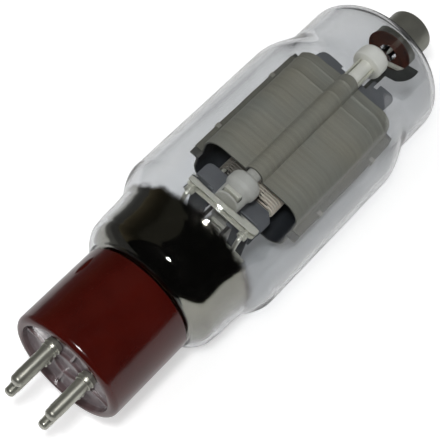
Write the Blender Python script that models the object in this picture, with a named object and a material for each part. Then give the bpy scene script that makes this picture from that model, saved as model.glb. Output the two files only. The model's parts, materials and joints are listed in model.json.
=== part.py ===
"""Glass power triode with a four-pin bayonet base, lying on its side.

The tube is built upright in its own frame: Z runs from the base to the top cap, Z = 0 is the
lower rim of the base, the front of the mount faces -Y and +X is its right. One empty then lays
the tube on the ground along world +X, resting on one facet of its bulb. Sizes are written in
millimetres and built in metres.
"""

import math

import bmesh
import bpy
from mathutils import Matrix, Vector

MM = 0.001

# General
GAP = 0.3                 # clearance between pieces that touch
EMBED = 1.0               # how far a joined feature sinks in, and a cutter runs past its wall
CHAMFER = 0.4             # broken edge of a ceramic or a moulding
FINE_EDGE = 0.15          # broken edge of sheet metal
ROUND_FACETS = 36         # facets round the bulb and the base
SMALL_FACETS = 12         # facets round a pin or a bore
FACE_ELEVATION = 75.0     # degrees, how far the front of the mount looks up as the tube lies
BASE_TURN = 6.5           # degrees, the base is cemented on a little round from the mount

# Base shell, moulded
BASE_R = 17.4
BASE_H = 28.0
BASE_RIM_WALL = 2.7
BASE_WALL = 1.8
BASE_FOOT_ROUND = 1.7
RECESS = 2.0
FLOOR_T = 2.0
HUB_WALL = 0.9
HUB_FACETS = 24
RIB_COUNT = 4
RIB_W = 0.7
RIB_H = 1.1
LUG_ANGLE = 152.0         # degrees from the base's right-hand side round past its front
LUG_Z = 21.0
LUG_LENGTH = 6.8
LUG_WIDTH = 3.0
LUG_HEIGHT = 0.6
CEMENT_T = 1.0            # of the cement ring between the base and the neck
CEMENT_DEPTH = 14.0
CEMENT_DROP = 1.8         # top of the cement below the top of the base

# Pins
PIN_CIRCLE_R = 8.2
PIN_PITCH = 12.0
PIN_REACH = 13.2          # below the rim of the base
THICK_PIN_R = 1.98
THIN_PIN_R = 1.59
PIN_COLLAR = 0.65         # how far the collar stands out
COLLAR_FOOT = 0.9         # how far the collar reaches below the rim
COLLAR_STEP = 0.2
PIN_SHANK = 0.72          # shank radius as a share of the pin's radius
PIN_TIP = 0.5             # rounding of the tip as a share of the pin's radius
PIN_HEAD_RIM = 0.3
PIN_HEAD_T = 0.7

# Bulb
GLASS_T = 1.2
NECK_CLEAR = 6.0          # foot of the neck above the floor of the base
LOW_R = 21.8
LOW_TOP_R = 22.6
MAIN_R = 26.2
UP_R = 22.5
BULGE_IN = 0.2            # the bulb leaves the base this far inside its edge
BULGE_H = 6.4
NECK_TURN = ((0.0, -1.5), (0.6, -0.4), (1.5, 0.1))   # out from the neck, and height above its seat
LOW_H = 16.0              # from the top of the base to the lower step
LOW_STEP_H = 11.5
UP_STEP_BELOW = 10.8      # the upper step starts this far below the top of the anode
UP_STEP_H = 14.0
DOME_CLEAR = 1.1          # foot of the dome above the upper insulators
DOME_H = 10.8
BEAD_R = 2.8
BEAD_TIP = 0.8            # radius of its lower end as a share of its own
BEAD_DROP = 2.2

# Stem
STEM_TUBE_R = 6.0
STEM_WALL = 1.2
FLARE_H = 7.0
FLARE_LIP = 0.72
PRESS_RISE = 24.5         # top of the press above the top of the base
PRESS_H = 14.5
PRESS_FULL_H = 5.0        # height over which the press has its full width
PRESS_TAPER = 6.0         # length of round tube that is drawn into the press
PRESS_MARGIN = 2.4        # glass beyond the outer rods
PRESS_HALF_T = 3.4
PRESS_ROUND = 0.4
PRESS_POWER = 0.5         # 1 gives an ellipse, less gives squarer ends
SOCKET_DEPTH = 6.0
HOLLOW_END = ((0.0, 0.55), (3.0, 0.8), (8.0, 1.0))   # distance from its end, share of its width
EXHAUST_R = 1.7
EXHAUST_WALL = 0.5
EXHAUST_CLEAR = 4.5       # sealed tip above the floor of the base

# Rods and leads
ROD_R = 0.7
ROD_X = 9.4
ROD_Y = 1.3
ROD_KNEE = 1.2
LEAD_X = 3.6
LEAD_R = 0.6
LEAD_RISE = 3.0           # above the crossbars
PIN_WIRE_R = 0.4
PIN_WIRE_STRAIGHT = 2.0   # straight stretch above the pin
PIN_WIRE_SPREAD = 1.3     # how far it stands off where it enters the stem, as a share
TIE_WIRE_R = 0.28
TIE_TURNS = 3
TIE_PITCH = 2.3           # in wire radii

# Crossbars
BAR_RISE = 8.5            # top of the crossbars above the press
BAR_OVERHANG = 2.4        # beyond the rods
BAR_W = 3.8
BAR_T = 0.5
BAR_LIP = 1.9
BAR_END = ((0.0, 0.55), (0.7, 0.2), (1.8, 0.0))   # distance from the end, how far drawn in

# Ceramic insulators
SPIGOT_R = 2.1
SPIGOT_IN = 6.0
BODY_R = 4.7
WAIST_R = 3.95
WAIST_H = 4.6
WAIST_FLARE_H = 1.4
SHOULDER_ROUND = 1.4
LOWER_STANDOFF = 12.3     # foot of the anode above the crossbars
SHOULDER_DROP = 2.4       # lower shoulders below the foot of the anode
UPPER_STANDOFF = 7.0      # upper heads above the anode
HEAD_H = 5.8
KEY_W = 5.0
KEY_H = 1.3
KEY_RISE = 1.9            # above the crossbars
KEY_PROUD = 0.9
SLEEVE_T = 0.5
SLEEVE_OPENING = 62.0     # degrees, half the open side

# Anode, two pressed halves
ANODE_H = 43.5            # of the front half
REAR_EXTRA = 2.0          # the rear half is longer at each end
ANODE_T = 0.7
ANODE_HALF_D = 10.0
ANODE_BODY_HALF_W = 17.0
FLANGE_W = 2.5
FLANGE_BEND = 0.5
ANODE_CORNER_R = 6.0
BEAD_RISE = 0.22
BEAD_H = 0.9
BEADS = (0.80, 0.92)      # heights of the pressed beads, as shares of the anode's height
CLIP_PLACES = (("lower", 0.22), ("upper", 0.78))
CLIP_H = 2.2
CLIP_T = 0.5
CLIP_REACH = 1.6

# Grid
GRID_ROD_X = 8.7
GRID_ROD_R = 0.6
GRID_ROD_PROUD = 1.1      # above the bridge
GRID_WIRE_R = 0.25
GRID_HALF_D = 2.4
GRID_IN_LOW = 1.3         # first turn above the foot of the anode
GRID_IN_TOP = 4.2         # last turn below its top
GRID_PITCH = 2.2
RADIATOR_T = 0.4
RADIATOR_LEFT = (4.4, 13.1)      # inner and outer side, from the middle
RADIATOR_RIGHT = (2.6, 11.2)
RADIATOR_FOOT = (4.8, 10.4)
RADIATOR_CLEAR = 0.9      # below the anode
RADIATOR_ROUND = 2.0
RADIATOR_CUT = 2.4

# Filament
FILAMENT_R = 0.3
FILAMENT_RISE = 1.7       # above the anode
FILAMENT_DROP = 3.3       # below the anode
FILAMENT_INNER_X = 1.2
HOOK_SHANK = 3.0
HOOK_KNEE = 1.6
HOOK_BOW = 0.6            # half width of the crook's foot, as a share of its own

# Top structure
BRIDGE_RISE = 0.8         # above the foot of the upper heads
BRIDGE_T = 0.8
BRIDGE_HALF_W = 1.6
BRIDGE_NECK = 0.9
EYE_R = 1.8
TAB_T = 0.5
TAB_IN = 2.8              # into the anode
TAB_SHELF = 0.6           # its full width ends this far below the anode's top
TAB_RISE = 4.2            # middle of the tab above the anode
WING_IN = 5.3
WING_W = 8.1
WING_RISE = 5.1
WING_ROUND = 2.6
EAR_IN = 4.2
EAR_W = 8.0
EAR_RISE = 7.4
EAR_ROUND = 2.4
EAR_CUT = 0.4
NOTCH_IN = 1.1            # from the inner side of the ear
NOTCH_W = 1.2
NOTCH_DEPTH = 1.6
STRAP_T = 0.4
STRAP_W = 3.6
STRAP_R = 8.0
STRAP_X = 3.4             # centre of its curve
STRAP_DROP = 5.5          # the same, below the dome's pole
STRAP_END = 12.0          # degrees
STRAP_FOOT_W = 2.2
STRAP_LAP = 1.8
LEAD_ELBOW = (1.2, -0.6, -0.9)   # right, back and up from the straight part of the lead
WIRE_R = 0.8

# Getter
GETTER_RING_R = 4.2
GETTER_WIRE_R = 0.8
GETTER_Y = 12.0
STRUT_R = 0.35
STRUT_RISE = 1.2
STRUT_ELBOWS = ((0.0, 3.0, 0.8), (0.8, 4.0, 0.5))    # out, along and up, from each end of the strut

# Top cap
CAP_R = 7.15
CAP_WALL = 0.5
CAP_RISE = 11.1           # above the dome
CAP_ROUND = 1.0
PLUG_H = 4.0
CEMENT_LIP = 0.35
CEMENT_LIP_T = 0.5

# Heights that follow from the ones above
FLOOR_TOP = RECESS + FLOOR_T
PIN_HEAD_TOP = FLOOR_TOP + GAP + PIN_HEAD_T
NECK_FOOT = FLOOR_TOP + NECK_CLEAR
FLARE_TOP = NECK_FOOT + FLARE_H
PRESS_TOP = BASE_H + PRESS_RISE
PRESS_FOOT = PRESS_TOP - PRESS_H
STEM_HOLLOW_TOP = PRESS_FOOT + EMBED
SOCKET_FOOT = PRESS_TOP - SOCKET_DEPTH
BAR_TOP = PRESS_TOP + BAR_RISE
BAR_FOOT = BAR_TOP - BAR_LIP
ANODE_FOOT = BAR_TOP + LOWER_STANDOFF
ANODE_TOP = ANODE_FOOT + ANODE_H
HEAD_FOOT = ANODE_TOP + UPPER_STANDOFF
HEAD_TOP = HEAD_FOOT + HEAD_H
BRIDGE_Z = HEAD_FOOT + BRIDGE_RISE
FILAMENT_TOP = ANODE_TOP + FILAMENT_RISE
LOW_TOP = BASE_H + LOW_H
MAIN_FOOT = LOW_TOP + LOW_STEP_H
MAIN_TOP = ANODE_TOP - UP_STEP_BELOW
UP_FOOT = MAIN_TOP + UP_STEP_H
DOME_FOOT = HEAD_TOP + DOME_CLEAR
DOME_TOP = DOME_FOOT + DOME_H
CAP_TOP = DOME_TOP + CAP_RISE

# Widths that follow
BASE_IN_R = BASE_R - BASE_WALL
BULGE_FOOT_R = BASE_R - BULGE_IN
NECK_R = BASE_IN_R - CEMENT_T - 2 * GAP
HUB_R = PIN_CIRCLE_R - THICK_PIN_R - PIN_COLLAR - GAP
PIN_FRONT_Y = math.sqrt(PIN_CIRCLE_R ** 2 - (PIN_PITCH / 2) ** 2)
FLARE_R = NECK_R - GLASS_T - GAP
PRESS_HALF_W = ROD_X + PRESS_MARGIN
BAR_HALF_L = ROD_X + BAR_OVERHANG
CHANNEL_IN_R = SPIGOT_R + GAP
CHANNEL_OUT_R = CHANNEL_IN_R + ANODE_T
INSULATOR_Y = ANODE_HALF_D
FLANGE_HALF_W = ANODE_BODY_HALF_W + FLANGE_W
TAB_Y = SPIGOT_R + 2 * GAP + SLEEVE_T - INSULATOR_Y
LEAD_HOLE_R = WIRE_R + GAP
AXIS_HEIGHT = MAIN_R * math.cos(math.pi / ROUND_FACETS)
MID_LENGTH = (CAP_TOP - PIN_REACH) / 2

# Linear colour, roughness and metallic value of each material
COLOURS = {
    "phenolic": ((0.045, 0.004, 0.002), 0.25, 0.0),
    "glass": ((0.80, 0.83, 0.84), 0.05, 0.0),
    "pin_metal": ((0.36, 0.36, 0.32), 0.35, 1.0),
    "nickel": ((0.30, 0.30, 0.28), 0.35, 1.0),
    "anode_grey": ((0.17, 0.155, 0.13), 0.55, 0.6),
    "ceramic": ((0.62, 0.61, 0.57), 0.5, 0.0),
    "dark_plate": ((0.075, 0.085, 0.10), 0.5, 0.7),
    "tungsten": ((0.20, 0.19, 0.18), 0.45, 1.0),
    "gold_wire": ((0.62, 0.52, 0.36), 0.3, 1.0),
    "cement": ((0.30, 0.22, 0.15), 0.8, 0.0),
    "cap_cement": ((0.10, 0.02, 0.01), 0.6, 0.0),
}


def clear_scene():
    for obj in list(bpy.data.objects):
        bpy.data.objects.remove(obj, do_unlink=True)


def material(key):
    found = bpy.data.materials.get(key)
    if found:
        return found
    colour, roughness, metallic = COLOURS[key]
    made = bpy.data.materials.new(key)
    made.use_nodes = True
    shader = made.node_tree.nodes["Principled BSDF"]
    shader.inputs["Base Color"].default_value = (*colour, 1.0)
    shader.inputs["Roughness"].default_value = roughness
    shader.inputs["Metallic"].default_value = metallic
    return made


def scaled(points):
    return [Vector(p) * MM for p in points]


def finish(bm, name, look, parent, sharp=35.0):
    """Turn a bmesh into a named, smooth-shaded object under its parent."""
    bmesh.ops.remove_doubles(bm, verts=bm.verts, dist=1e-7)
    bmesh.ops.recalc_face_normals(bm, faces=bm.faces)
    mesh = bpy.data.meshes.new(name)
    bm.to_mesh(mesh)
    bm.free()
    mesh.shade_smooth()
    mesh.set_sharp_from_angle(angle=math.radians(sharp))
    mesh.materials.append(material(look))
    obj = bpy.data.objects.new(name, mesh)
    bpy.context.collection.objects.link(obj)
    obj.parent = parent
    return obj


def empty(name, parent=None):
    obj = bpy.data.objects.new(name, None)
    bpy.context.collection.objects.link(obj)
    obj.parent = parent
    return obj


def arc(centre, radius, start, end, steps, stretch=1.0):
    """Points of an arc in degrees; stretch scales its second half-axis."""
    points = []
    for i in range(steps + 1):
        a = math.radians(start + (end - start) * i / steps)
        points.append((centre[0] + radius * math.cos(a), centre[1] + radius * stretch * math.sin(a)))
    return points


def mirrored(points):
    return [(-u, v) for u, v in reversed(points)]


def s_curve(low, high, steps):
    """Points (r, z) that swing smoothly from one radius to another."""
    points = []
    for i in range(steps + 1):
        share = i / steps
        swing = (1 - math.cos(math.pi * share)) / 2
        points.append((low[0] + (high[0] - low[0]) * swing, low[1] + (high[1] - low[1]) * share))
    return points


def turned(name, profile, look, parent, centre=(0.0, 0.0), facets=ROUND_FACETS, sharp=35.0):
    """Spin a closed (r, z) profile about a line parallel to Z."""
    bm = bmesh.new()
    verts = [bm.verts.new(Vector((r, 0.0, z)) * MM) for r, z in profile]
    edges = []
    for first, second in zip(verts, verts[1:] + verts[:1]):
        if first.co.x > 1e-9 or second.co.x > 1e-9:
            edges.append(bm.edges.new((first, second)))
    bmesh.ops.spin(bm, geom=verts + edges, axis=(0, 0, 1), cent=(0, 0, 0), steps=facets,
                   angle=math.tau, use_merge=True)
    bmesh.ops.remove_doubles(bm, verts=bm.verts, dist=1e-7)
    bmesh.ops.translate(bm, verts=bm.verts, vec=Vector((centre[0], centre[1], 0.0)) * MM)
    return finish(bm, name, look, parent, sharp)


def rod_cutter(name, radius, low, high, centre, parent):
    """Round hidden tool for a bore parallel to Z."""
    profile = [(0.0, low), (radius, low), (radius, high), (0.0, high)]
    return cutter(turned(name, profile, "nickel", parent, centre, SMALL_FACETS))


def lofted(name, rings, look, parent, sharp=35.0):
    """Skin a row of point rings that all have the same number of points, ends closed."""
    bm = bmesh.new()
    rows = [[bm.verts.new(p) for p in scaled(ring)] for ring in rings]
    for low, high in zip(rows, rows[1:]):
        for i, vert in enumerate(low):
            j = (i + 1) % len(low)
            bm.faces.new((vert, low[j], high[j], high[i]))
    bm.faces.new(rows[0])
    bm.faces.new(rows[-1])
    return finish(bm, name, look, parent, sharp)


def plate(name, outline, thickness, place, look, parent, bevel=0.0):
    """Extrude a flat (u, v) outline; place(u, v, w) gives its point in the tube's frame."""
    bm = bmesh.new()
    near = [bm.verts.new(Vector(place(u, v, 0.0)) * MM) for u, v in outline]
    far = [bm.verts.new(Vector(place(u, v, thickness)) * MM) for u, v in outline]
    bm.faces.new(near)
    bm.faces.new(far)
    for i, vert in enumerate(near):
        j = (i + 1) % len(near)
        bm.faces.new((vert, near[j], far[j], far[i]))
    obj = finish(bm, name, look, parent)
    if bevel:
        add_bevel(obj, bevel)
    return obj


def block(name, low, high, look, parent):
    """A rectangular block between two corners."""
    outline = [(low[0], low[1]), (high[0], low[1]), (high[0], high[1]), (low[0], high[1])]
    return plate(name, outline, high[2] - low[2], lambda u, v, w: (u, v, low[2] + w), look, parent)


def add_bevel(obj, width):
    soft = obj.modifiers.new("soft_edges", "BEVEL")
    soft.width = width * MM
    soft.segments = 1
    soft.limit_method = "ANGLE"
    soft.angle_limit = math.radians(50)


def smooth_path(points, steps):
    """Catmull-Rom curve through the points, ends included."""
    knots = [Vector(p) for p in points]
    knots = [2 * knots[0] - knots[1]] + knots + [2 * knots[-1] - knots[-2]]
    path = []
    for a, b, c, d in zip(knots, knots[1:], knots[2:], knots[3:]):
        for i in range(steps):
            t = i / steps
            path.append(0.5 * (2 * b + (c - a) * t + (2 * a - 5 * b + 4 * c - d) * t ** 2
                               + (3 * b - a - 3 * c + d) * t ** 3))
    path.append(knots[-2])
    return path


def wire(name, path, radius, look, parent, resolution=1):
    """A round wire along a path, as a bevelled curve with filled caps."""
    curve = bpy.data.curves.new(name, "CURVE")
    curve.dimensions = "3D"
    curve.bevel_depth = radius * MM
    curve.bevel_resolution = resolution
    curve.use_fill_caps = True
    spline = curve.splines.new("POLY")
    spline.points.add(len(path) - 1)
    for point, place in zip(spline.points, path):
        point.co = (*(Vector(place) * MM), 1.0)
    curve.materials.append(material(look))
    obj = bpy.data.objects.new(name, curve)
    bpy.context.collection.objects.link(obj)
    obj.parent = parent
    return obj


def cutter(obj):
    obj.hide_render = True
    obj.display_type = "WIRE"
    return obj


def combine(obj, tool, operation):
    cut = obj.modifiers.new(tool.name, "BOOLEAN")
    cut.operation = operation
    cut.solver = "EXACT"
    cut.object = tool


def base_profile():
    """Shell section: rounded foot, recessed underside, floor and an open top."""
    rim_in = BASE_R - BASE_RIM_WALL
    small = BASE_FOOT_ROUND / 4
    profile = [(0.0, RECESS), (rim_in, RECESS)]
    profile += arc((rim_in + small, small), small, 180, 270, 2)
    profile += arc((BASE_R - BASE_FOOT_ROUND, BASE_FOOT_ROUND), BASE_FOOT_ROUND, 270, 360, 4)
    profile += [(BASE_R, BASE_H - CHAMFER), (BASE_R - CHAMFER, BASE_H), (BASE_IN_R, BASE_H)]
    profile += [(BASE_IN_R, FLOOR_TOP), (0.0, FLOOR_TOP)]
    return profile


def pin_places():
    """Name, centre and radius of each pin, as the base is seen from its front."""
    half = PIN_PITCH / 2
    return (
        ("filament_pin_left", -half, -PIN_FRONT_Y, THICK_PIN_R),
        ("filament_pin_right", half, -PIN_FRONT_Y, THICK_PIN_R),
        ("grid_pin", -half, PIN_FRONT_Y, THIN_PIN_R),
        ("spare_pin", half, PIN_FRONT_Y, THIN_PIN_R),
    )


def make_base(base):
    shell = turned("base_shell", base_profile(), "phenolic", base)
    hub_in = HUB_R - HUB_WALL
    foot = RECESS - RIB_H
    hub = [(hub_in, foot), (HUB_R, foot), (HUB_R, RECESS + EMBED), (hub_in, RECESS + EMBED)]
    ring = turned("hub_ring", hub, "phenolic", base, facets=HUB_FACETS)
    ring.rotation_euler.z = math.tau / ROUND_FACETS / 4
    combine(shell, cutter(ring), "UNION")
    for i in range(RIB_COUNT):
        low = (HUB_R - HUB_WALL / 2, -RIB_W / 2, foot + FINE_EDGE)
        high = (BASE_R - BASE_RIM_WALL / 2, RIB_W / 2, RECESS + EMBED - FINE_EDGE)
        rib = block(f"rib_{i + 1}", low, high, "phenolic", base)
        rib.rotation_euler.z = math.tau * i / RIB_COUNT
        combine(shell, cutter(rib), "UNION")
    combine(shell, cutter(make_lug(base)), "UNION")
    for name, x, y, radius in pin_places():
        bore_r = radius * PIN_SHANK + GAP
        bore = rod_cutter(f"bore_{name}", bore_r, RECESS - EMBED, FLOOR_TOP + EMBED, (x, y), base)
        combine(shell, bore, "DIFFERENCE")


def make_lug(base):
    """Oval bayonet lug, with its long side up the shell."""
    stretch = LUG_HEIGHT * 2 / LUG_WIDTH
    profile = [(0.0, -EMBED), (LUG_WIDTH / 2, -EMBED)]
    profile += arc((0.0, 0.0), LUG_WIDTH / 2, 0, 90, 3, stretch)
    lug = turned("lug", profile, "phenolic", base, facets=SMALL_FACETS)
    lug.scale = (LUG_LENGTH / LUG_WIDTH, 1.0, 1.0)
    angle = math.radians(LUG_ANGLE)
    up = Vector((0.0, 0.0, 1.0))
    outward = Vector((math.cos(angle), -math.sin(angle), 0.0))
    lug.rotation_euler = Matrix((up, outward.cross(up), outward)).transposed().to_euler()
    lug.location = (outward * BASE_R + up * LUG_Z) * MM
    return lug


def pin_profile(radius):
    """Round solder tip, plain body, double collar, shank through the floor and a swaged head."""
    shank = radius * PIN_SHANK
    collar = radius + PIN_COLLAR
    lower = collar - COLLAR_STEP
    tip = radius * PIN_TIP
    head = radius + PIN_HEAD_RIM
    profile = [(0.0, -PIN_REACH)] + arc((radius - tip, tip - PIN_REACH), tip, -90, 0, 3)
    profile += [(radius, -COLLAR_FOOT), (lower, COLLAR_STEP - COLLAR_FOOT), (lower, 0.0)]
    profile += [(radius, COLLAR_STEP), (collar, 2 * COLLAR_STEP), (collar, RECESS - GAP)]
    profile += [(shank, RECESS - GAP), (shank, FLOOR_TOP + GAP), (head, FLOOR_TOP + GAP)]
    profile += [(head, PIN_HEAD_TOP), (0.0, PIN_HEAD_TOP)]
    return profile


def make_pins(base):
    for name, x, y, radius in pin_places():
        turned(name, pin_profile(radius), "pin_metal", base, (x, y), SMALL_FACETS)


def make_base_cement(base):
    inner = NECK_R + GAP
    outer = BASE_IN_R - GAP
    foot = BASE_H - CEMENT_DEPTH
    top = BASE_H - CEMENT_DROP
    profile = [(inner, foot), (outer, foot), (outer, top), (inner, top)]
    turned("base_cement", profile, "cement", base)


def moved_left(points, distance):
    """An open (r, z) side moved to the left of its direction, end points level."""
    moved = []
    for i, (r, z) in enumerate(points):
        before = points[max(i - 1, 0)]
        after = points[min(i + 1, len(points) - 1)]
        along = Vector((after[0] - before[0], after[1] - before[1])).normalized()
        moved.append((r - along.y * distance, z + along.x * distance))
    return moved


def bulge_side(steps):
    """Outer side from the neck's foot out over the rim of the base and up into the lower step."""
    seat = BASE_H + GAP
    side = [(NECK_R, NECK_FOOT)] + [(NECK_R + out, seat + up) for out, up in NECK_TURN]
    for i in range(steps + 1):
        share = i / steps
        swing = 1 - (1 - share) ** 2
        side.append((BULGE_FOOT_R + (LOW_R - BULGE_FOOT_R) * swing, seat + FINE_EDGE + BULGE_H * share))
    return side


def bulb_side(inset, hole_r, steps):
    """One side of the bulb's wall, from the neck's foot to the hole at the pole."""
    main = MAIN_R - inset
    up = UP_R - inset
    side = moved_left(bulge_side(steps), inset)
    side += s_curve((LOW_TOP_R - inset, LOW_TOP), (main, MAIN_FOOT), steps)
    side += s_curve((main, MAIN_TOP), (up, UP_FOOT), steps)
    last = math.degrees(math.acos(hole_r / up))
    side += arc((0.0, DOME_FOOT), up, 0, last, steps + 3, (DOME_H - inset) / up)
    return side


def make_envelope(tube):
    """Stepped bulb with a bead of glass inside its pole, where the lead passes."""
    outer = bulb_side(0.0, LEAD_HOLE_R, 5)
    inner = bulb_side(GLASS_T, BEAD_R, 3)
    bead_low = DOME_TOP - GLASS_T - BEAD_DROP
    bead = [(LEAD_HOLE_R, bead_low), (BEAD_R * BEAD_TIP, bead_low + CHAMFER)]
    turned("glass_envelope", outer + bead + inner[::-1], "glass", tube, sharp=60)


def press_ring(z, half_w, half_t, power=1.0, steps=24):
    """Round ring, or a flat one with fuller ends as the power goes below 1."""
    ring = []
    for i in range(steps):
        c = math.cos(math.tau * i / steps)
        s = math.sin(math.tau * i / steps)
        x = half_w * math.copysign(abs(c) ** power, c)
        y = half_t * math.copysign(abs(s) ** power, s)
        ring.append((x, y, z))
    return ring


def flare(rim_r, tube_r, foot, steps):
    """Rings of the trumpet mouth, from its rim up to the straight tube."""
    rings = []
    for i in range(steps + 1):
        a = math.pi / 2 * i / steps
        r = rim_r - (rim_r - tube_r) * math.sin(a)
        rings.append(press_ring(foot + FLARE_H * (1 - math.cos(a)), r, r))
    return rings


def make_stem(tube):
    """Flare, tube and pinched press, hollow up to the foot of the press."""
    outside = flare(FLARE_R, STEM_TUBE_R, NECK_FOOT + GLASS_T, 4)
    steps = 5
    taper_foot = PRESS_FOOT - PRESS_TAPER
    taper_top = PRESS_TOP - PRESS_FULL_H
    for i in range(steps + 1):
        share = (1 - math.cos(math.pi * i / steps)) / 2
        z = taper_foot + (taper_top - taper_foot) * i / steps
        half_w = STEM_TUBE_R + (PRESS_HALF_W - STEM_TUBE_R) * share
        half_t = STEM_TUBE_R + (PRESS_HALF_T - STEM_TUBE_R) * share
        outside.append(press_ring(z, half_w, half_t, 1 - (1 - PRESS_POWER) * share))
    for drawn_in, z in ((0.0, PRESS_TOP - PRESS_ROUND), (PRESS_ROUND, PRESS_TOP)):
        outside.append(press_ring(z, PRESS_HALF_W - drawn_in, PRESS_HALF_T - drawn_in, PRESS_POWER))
    hollow_r = STEM_TUBE_R - STEM_WALL
    inside = []
    for drop, share in HOLLOW_END:
        inside.append(press_ring(STEM_HOLLOW_TOP - drop, hollow_r * share, hollow_r * share))
    inside += flare(FLARE_R - FLARE_LIP, hollow_r, NECK_FOOT, 3)[::-1]
    rings = inside + [press_ring(NECK_FOOT, FLARE_R, FLARE_R)] + outside
    stem = lofted("glass_stem", rings, "glass", tube, sharp=50)
    for name, x, y in rod_places():
        hole_r = ROD_R + GAP
        hole = rod_cutter(f"socket_{name}", hole_r, SOCKET_FOOT - GAP, PRESS_TOP + EMBED, (x, y), tube)
        combine(stem, hole, "DIFFERENCE")


def rod_places():
    """Name and place in the press of every wire that stands in it."""
    return (
        ("mount_rod_front_left", -ROD_X, -ROD_Y),
        ("mount_rod_front_right", ROD_X, -ROD_Y),
        ("mount_rod_rear_left", -ROD_X, ROD_Y),
        ("mount_rod_rear_right", ROD_X, ROD_Y),
        ("filament_lead_left", -LEAD_X, 0.0),
        ("filament_lead_right", LEAD_X, 0.0),
    )


def make_rods(tube):
    """Mount rods bend outwards from the press into the crossbars; filament leads stand straight."""
    head = BAR_TOP - BAR_T - GAP
    tie_h = GAP + TIE_WIRE_R * (1 + TIE_PITCH * TIE_TURNS)
    for name, x, y in rod_places():
        if name.startswith("filament"):
            wire(name, [(x, y, SOCKET_FOOT), (x, y, BAR_TOP + LEAD_RISE)], LEAD_R, "tungsten", tube)
            continue
        side = math.copysign(1.0, y)
        bend = [(x, y, SOCKET_FOOT), (x, y, PRESS_TOP), (x, y + side * ROD_KNEE / 2, PRESS_TOP + ROD_KNEE)]
        bend += [(x, side * (INSULATOR_Y - ROD_KNEE), BAR_FOOT - tie_h - ROD_KNEE)]
        bend += [(x, side * INSULATOR_Y, BAR_FOOT - tie_h), (x, side * INSULATOR_Y, head)]
        wire(name, smooth_path(bend, 2), ROD_R, "nickel", tube)
    for label, x in (("left", -ROD_X), ("right", ROD_X)):
        make_tie(label, x, tube)


def make_tie(label, x, tube):
    """Fine wire wound round a front rod, under its crossbar."""
    per_turn = 8
    coil_r = ROD_R + GAP + TIE_WIRE_R
    turns = []
    for i in range(TIE_TURNS * per_turn + 1):
        a = math.tau * i / per_turn
        z = BAR_FOOT - GAP - TIE_WIRE_R * (1 + TIE_PITCH * i / per_turn)
        turns.append((x + coil_r * math.cos(a), coil_r * math.sin(a) - INSULATOR_Y, z))
    wire(f"rod_tie_{label}", turns, TIE_WIRE_R, "nickel", tube, 0)


def make_pin_wires(base, tube):
    """Leads from three of the pins up into the stem's hollow, round the sealed exhaust tube."""
    start = PIN_HEAD_TOP + GAP
    ring_r = EXHAUST_R + GAP + PIN_WIRE_R
    for name, x, y, _radius in pin_places()[:3]:
        inner = ring_r / PIN_CIRCLE_R
        mouth = inner * PIN_WIRE_SPREAD
        bend = [(x, y, start), (x, y, start + PIN_WIRE_STRAIGHT), (x * mouth, y * mouth, FLARE_TOP)]
        bend += [(x * inner, y * inner, FLARE_TOP + FLARE_H)]
        bend += [(x * inner, y * inner, STEM_HOLLOW_TOP - EMBED - GAP)]
        wire(f"lead_{name}", smooth_path(bend, 3), PIN_WIRE_R, "nickel", base, 0)
    inner_r = EXHAUST_R - EXHAUST_WALL
    tip = FLOOR_TOP + EXHAUST_CLEAR
    shoulder = tip + EXHAUST_R
    profile = [(0.0, tip)] + arc((0.0, shoulder), EXHAUST_R, -60, 0, 3)
    profile += [(EXHAUST_R, STEM_HOLLOW_TOP - GAP), (inner_r, STEM_HOLLOW_TOP - GAP)]
    profile += [(inner_r, shoulder), (0.0, shoulder)]
    turned("exhaust_tube", profile, "glass", tube, facets=SMALL_FACETS)


def bar_section(narrow):
    """Channel section of a crossbar: a web with two lips turned down, as (y, z) points."""
    half = BAR_W / 2 - narrow
    foot = BAR_FOOT + narrow
    right = [(half - CHAMFER, BAR_TOP), (half, BAR_TOP - CHAMFER), (half, foot)]
    right += [(half - BAR_T, foot), (half - BAR_T, BAR_TOP - BAR_T)]
    return right + mirrored(right)


def make_crossbars(tube):
    """Two channels across the mount, drawn in at their ends."""
    stations = [(along - BAR_HALF_L, narrow) for along, narrow in BAR_END]
    stations += mirrored(stations)
    for label, side in (("front", -1), ("rear", 1)):
        rings = []
        for x, narrow in stations:
            rings.append([(x, side * INSULATOR_Y + y, z) for y, z in bar_section(narrow)])
        lofted(f"crossbar_{label}", rings, "nickel", tube)


def lower_profile():
    """Waisted body with a round shoulder and the spigot that enters the anode's channel."""
    foot = BAR_TOP + GAP
    shoulder = ANODE_FOOT - SHOULDER_DROP
    spigot_top = ANODE_FOOT + SPIGOT_IN
    profile = [(0.0, foot), (WAIST_R - CHAMFER, foot), (WAIST_R, foot + CHAMFER)]
    profile += [(WAIST_R, foot + WAIST_H), (BODY_R, foot + WAIST_H + WAIST_FLARE_H)]
    profile += arc((BODY_R - SHOULDER_ROUND, shoulder - SHOULDER_ROUND), SHOULDER_ROUND, 0, 90, 3)
    profile += [(SPIGOT_R, shoulder), (SPIGOT_R, spigot_top - CHAMFER)]
    profile += [(SPIGOT_R - CHAMFER, spigot_top), (0.0, spigot_top)]
    return profile


def upper_profile():
    """Round head on a long spigot that enters the channel from above."""
    foot = ANODE_TOP - SPIGOT_IN
    profile = [(0.0, foot), (SPIGOT_R - CHAMFER, foot), (SPIGOT_R, foot + CHAMFER)]
    profile += [(SPIGOT_R, HEAD_FOOT), (BODY_R - CHAMFER, HEAD_FOOT), (BODY_R, HEAD_FOOT + CHAMFER)]
    profile += arc((BODY_R - SHOULDER_ROUND, HEAD_TOP - SHOULDER_ROUND), SHOULDER_ROUND, 0, 90, 3)
    profile += [(0.0, HEAD_TOP)]
    return profile


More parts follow.
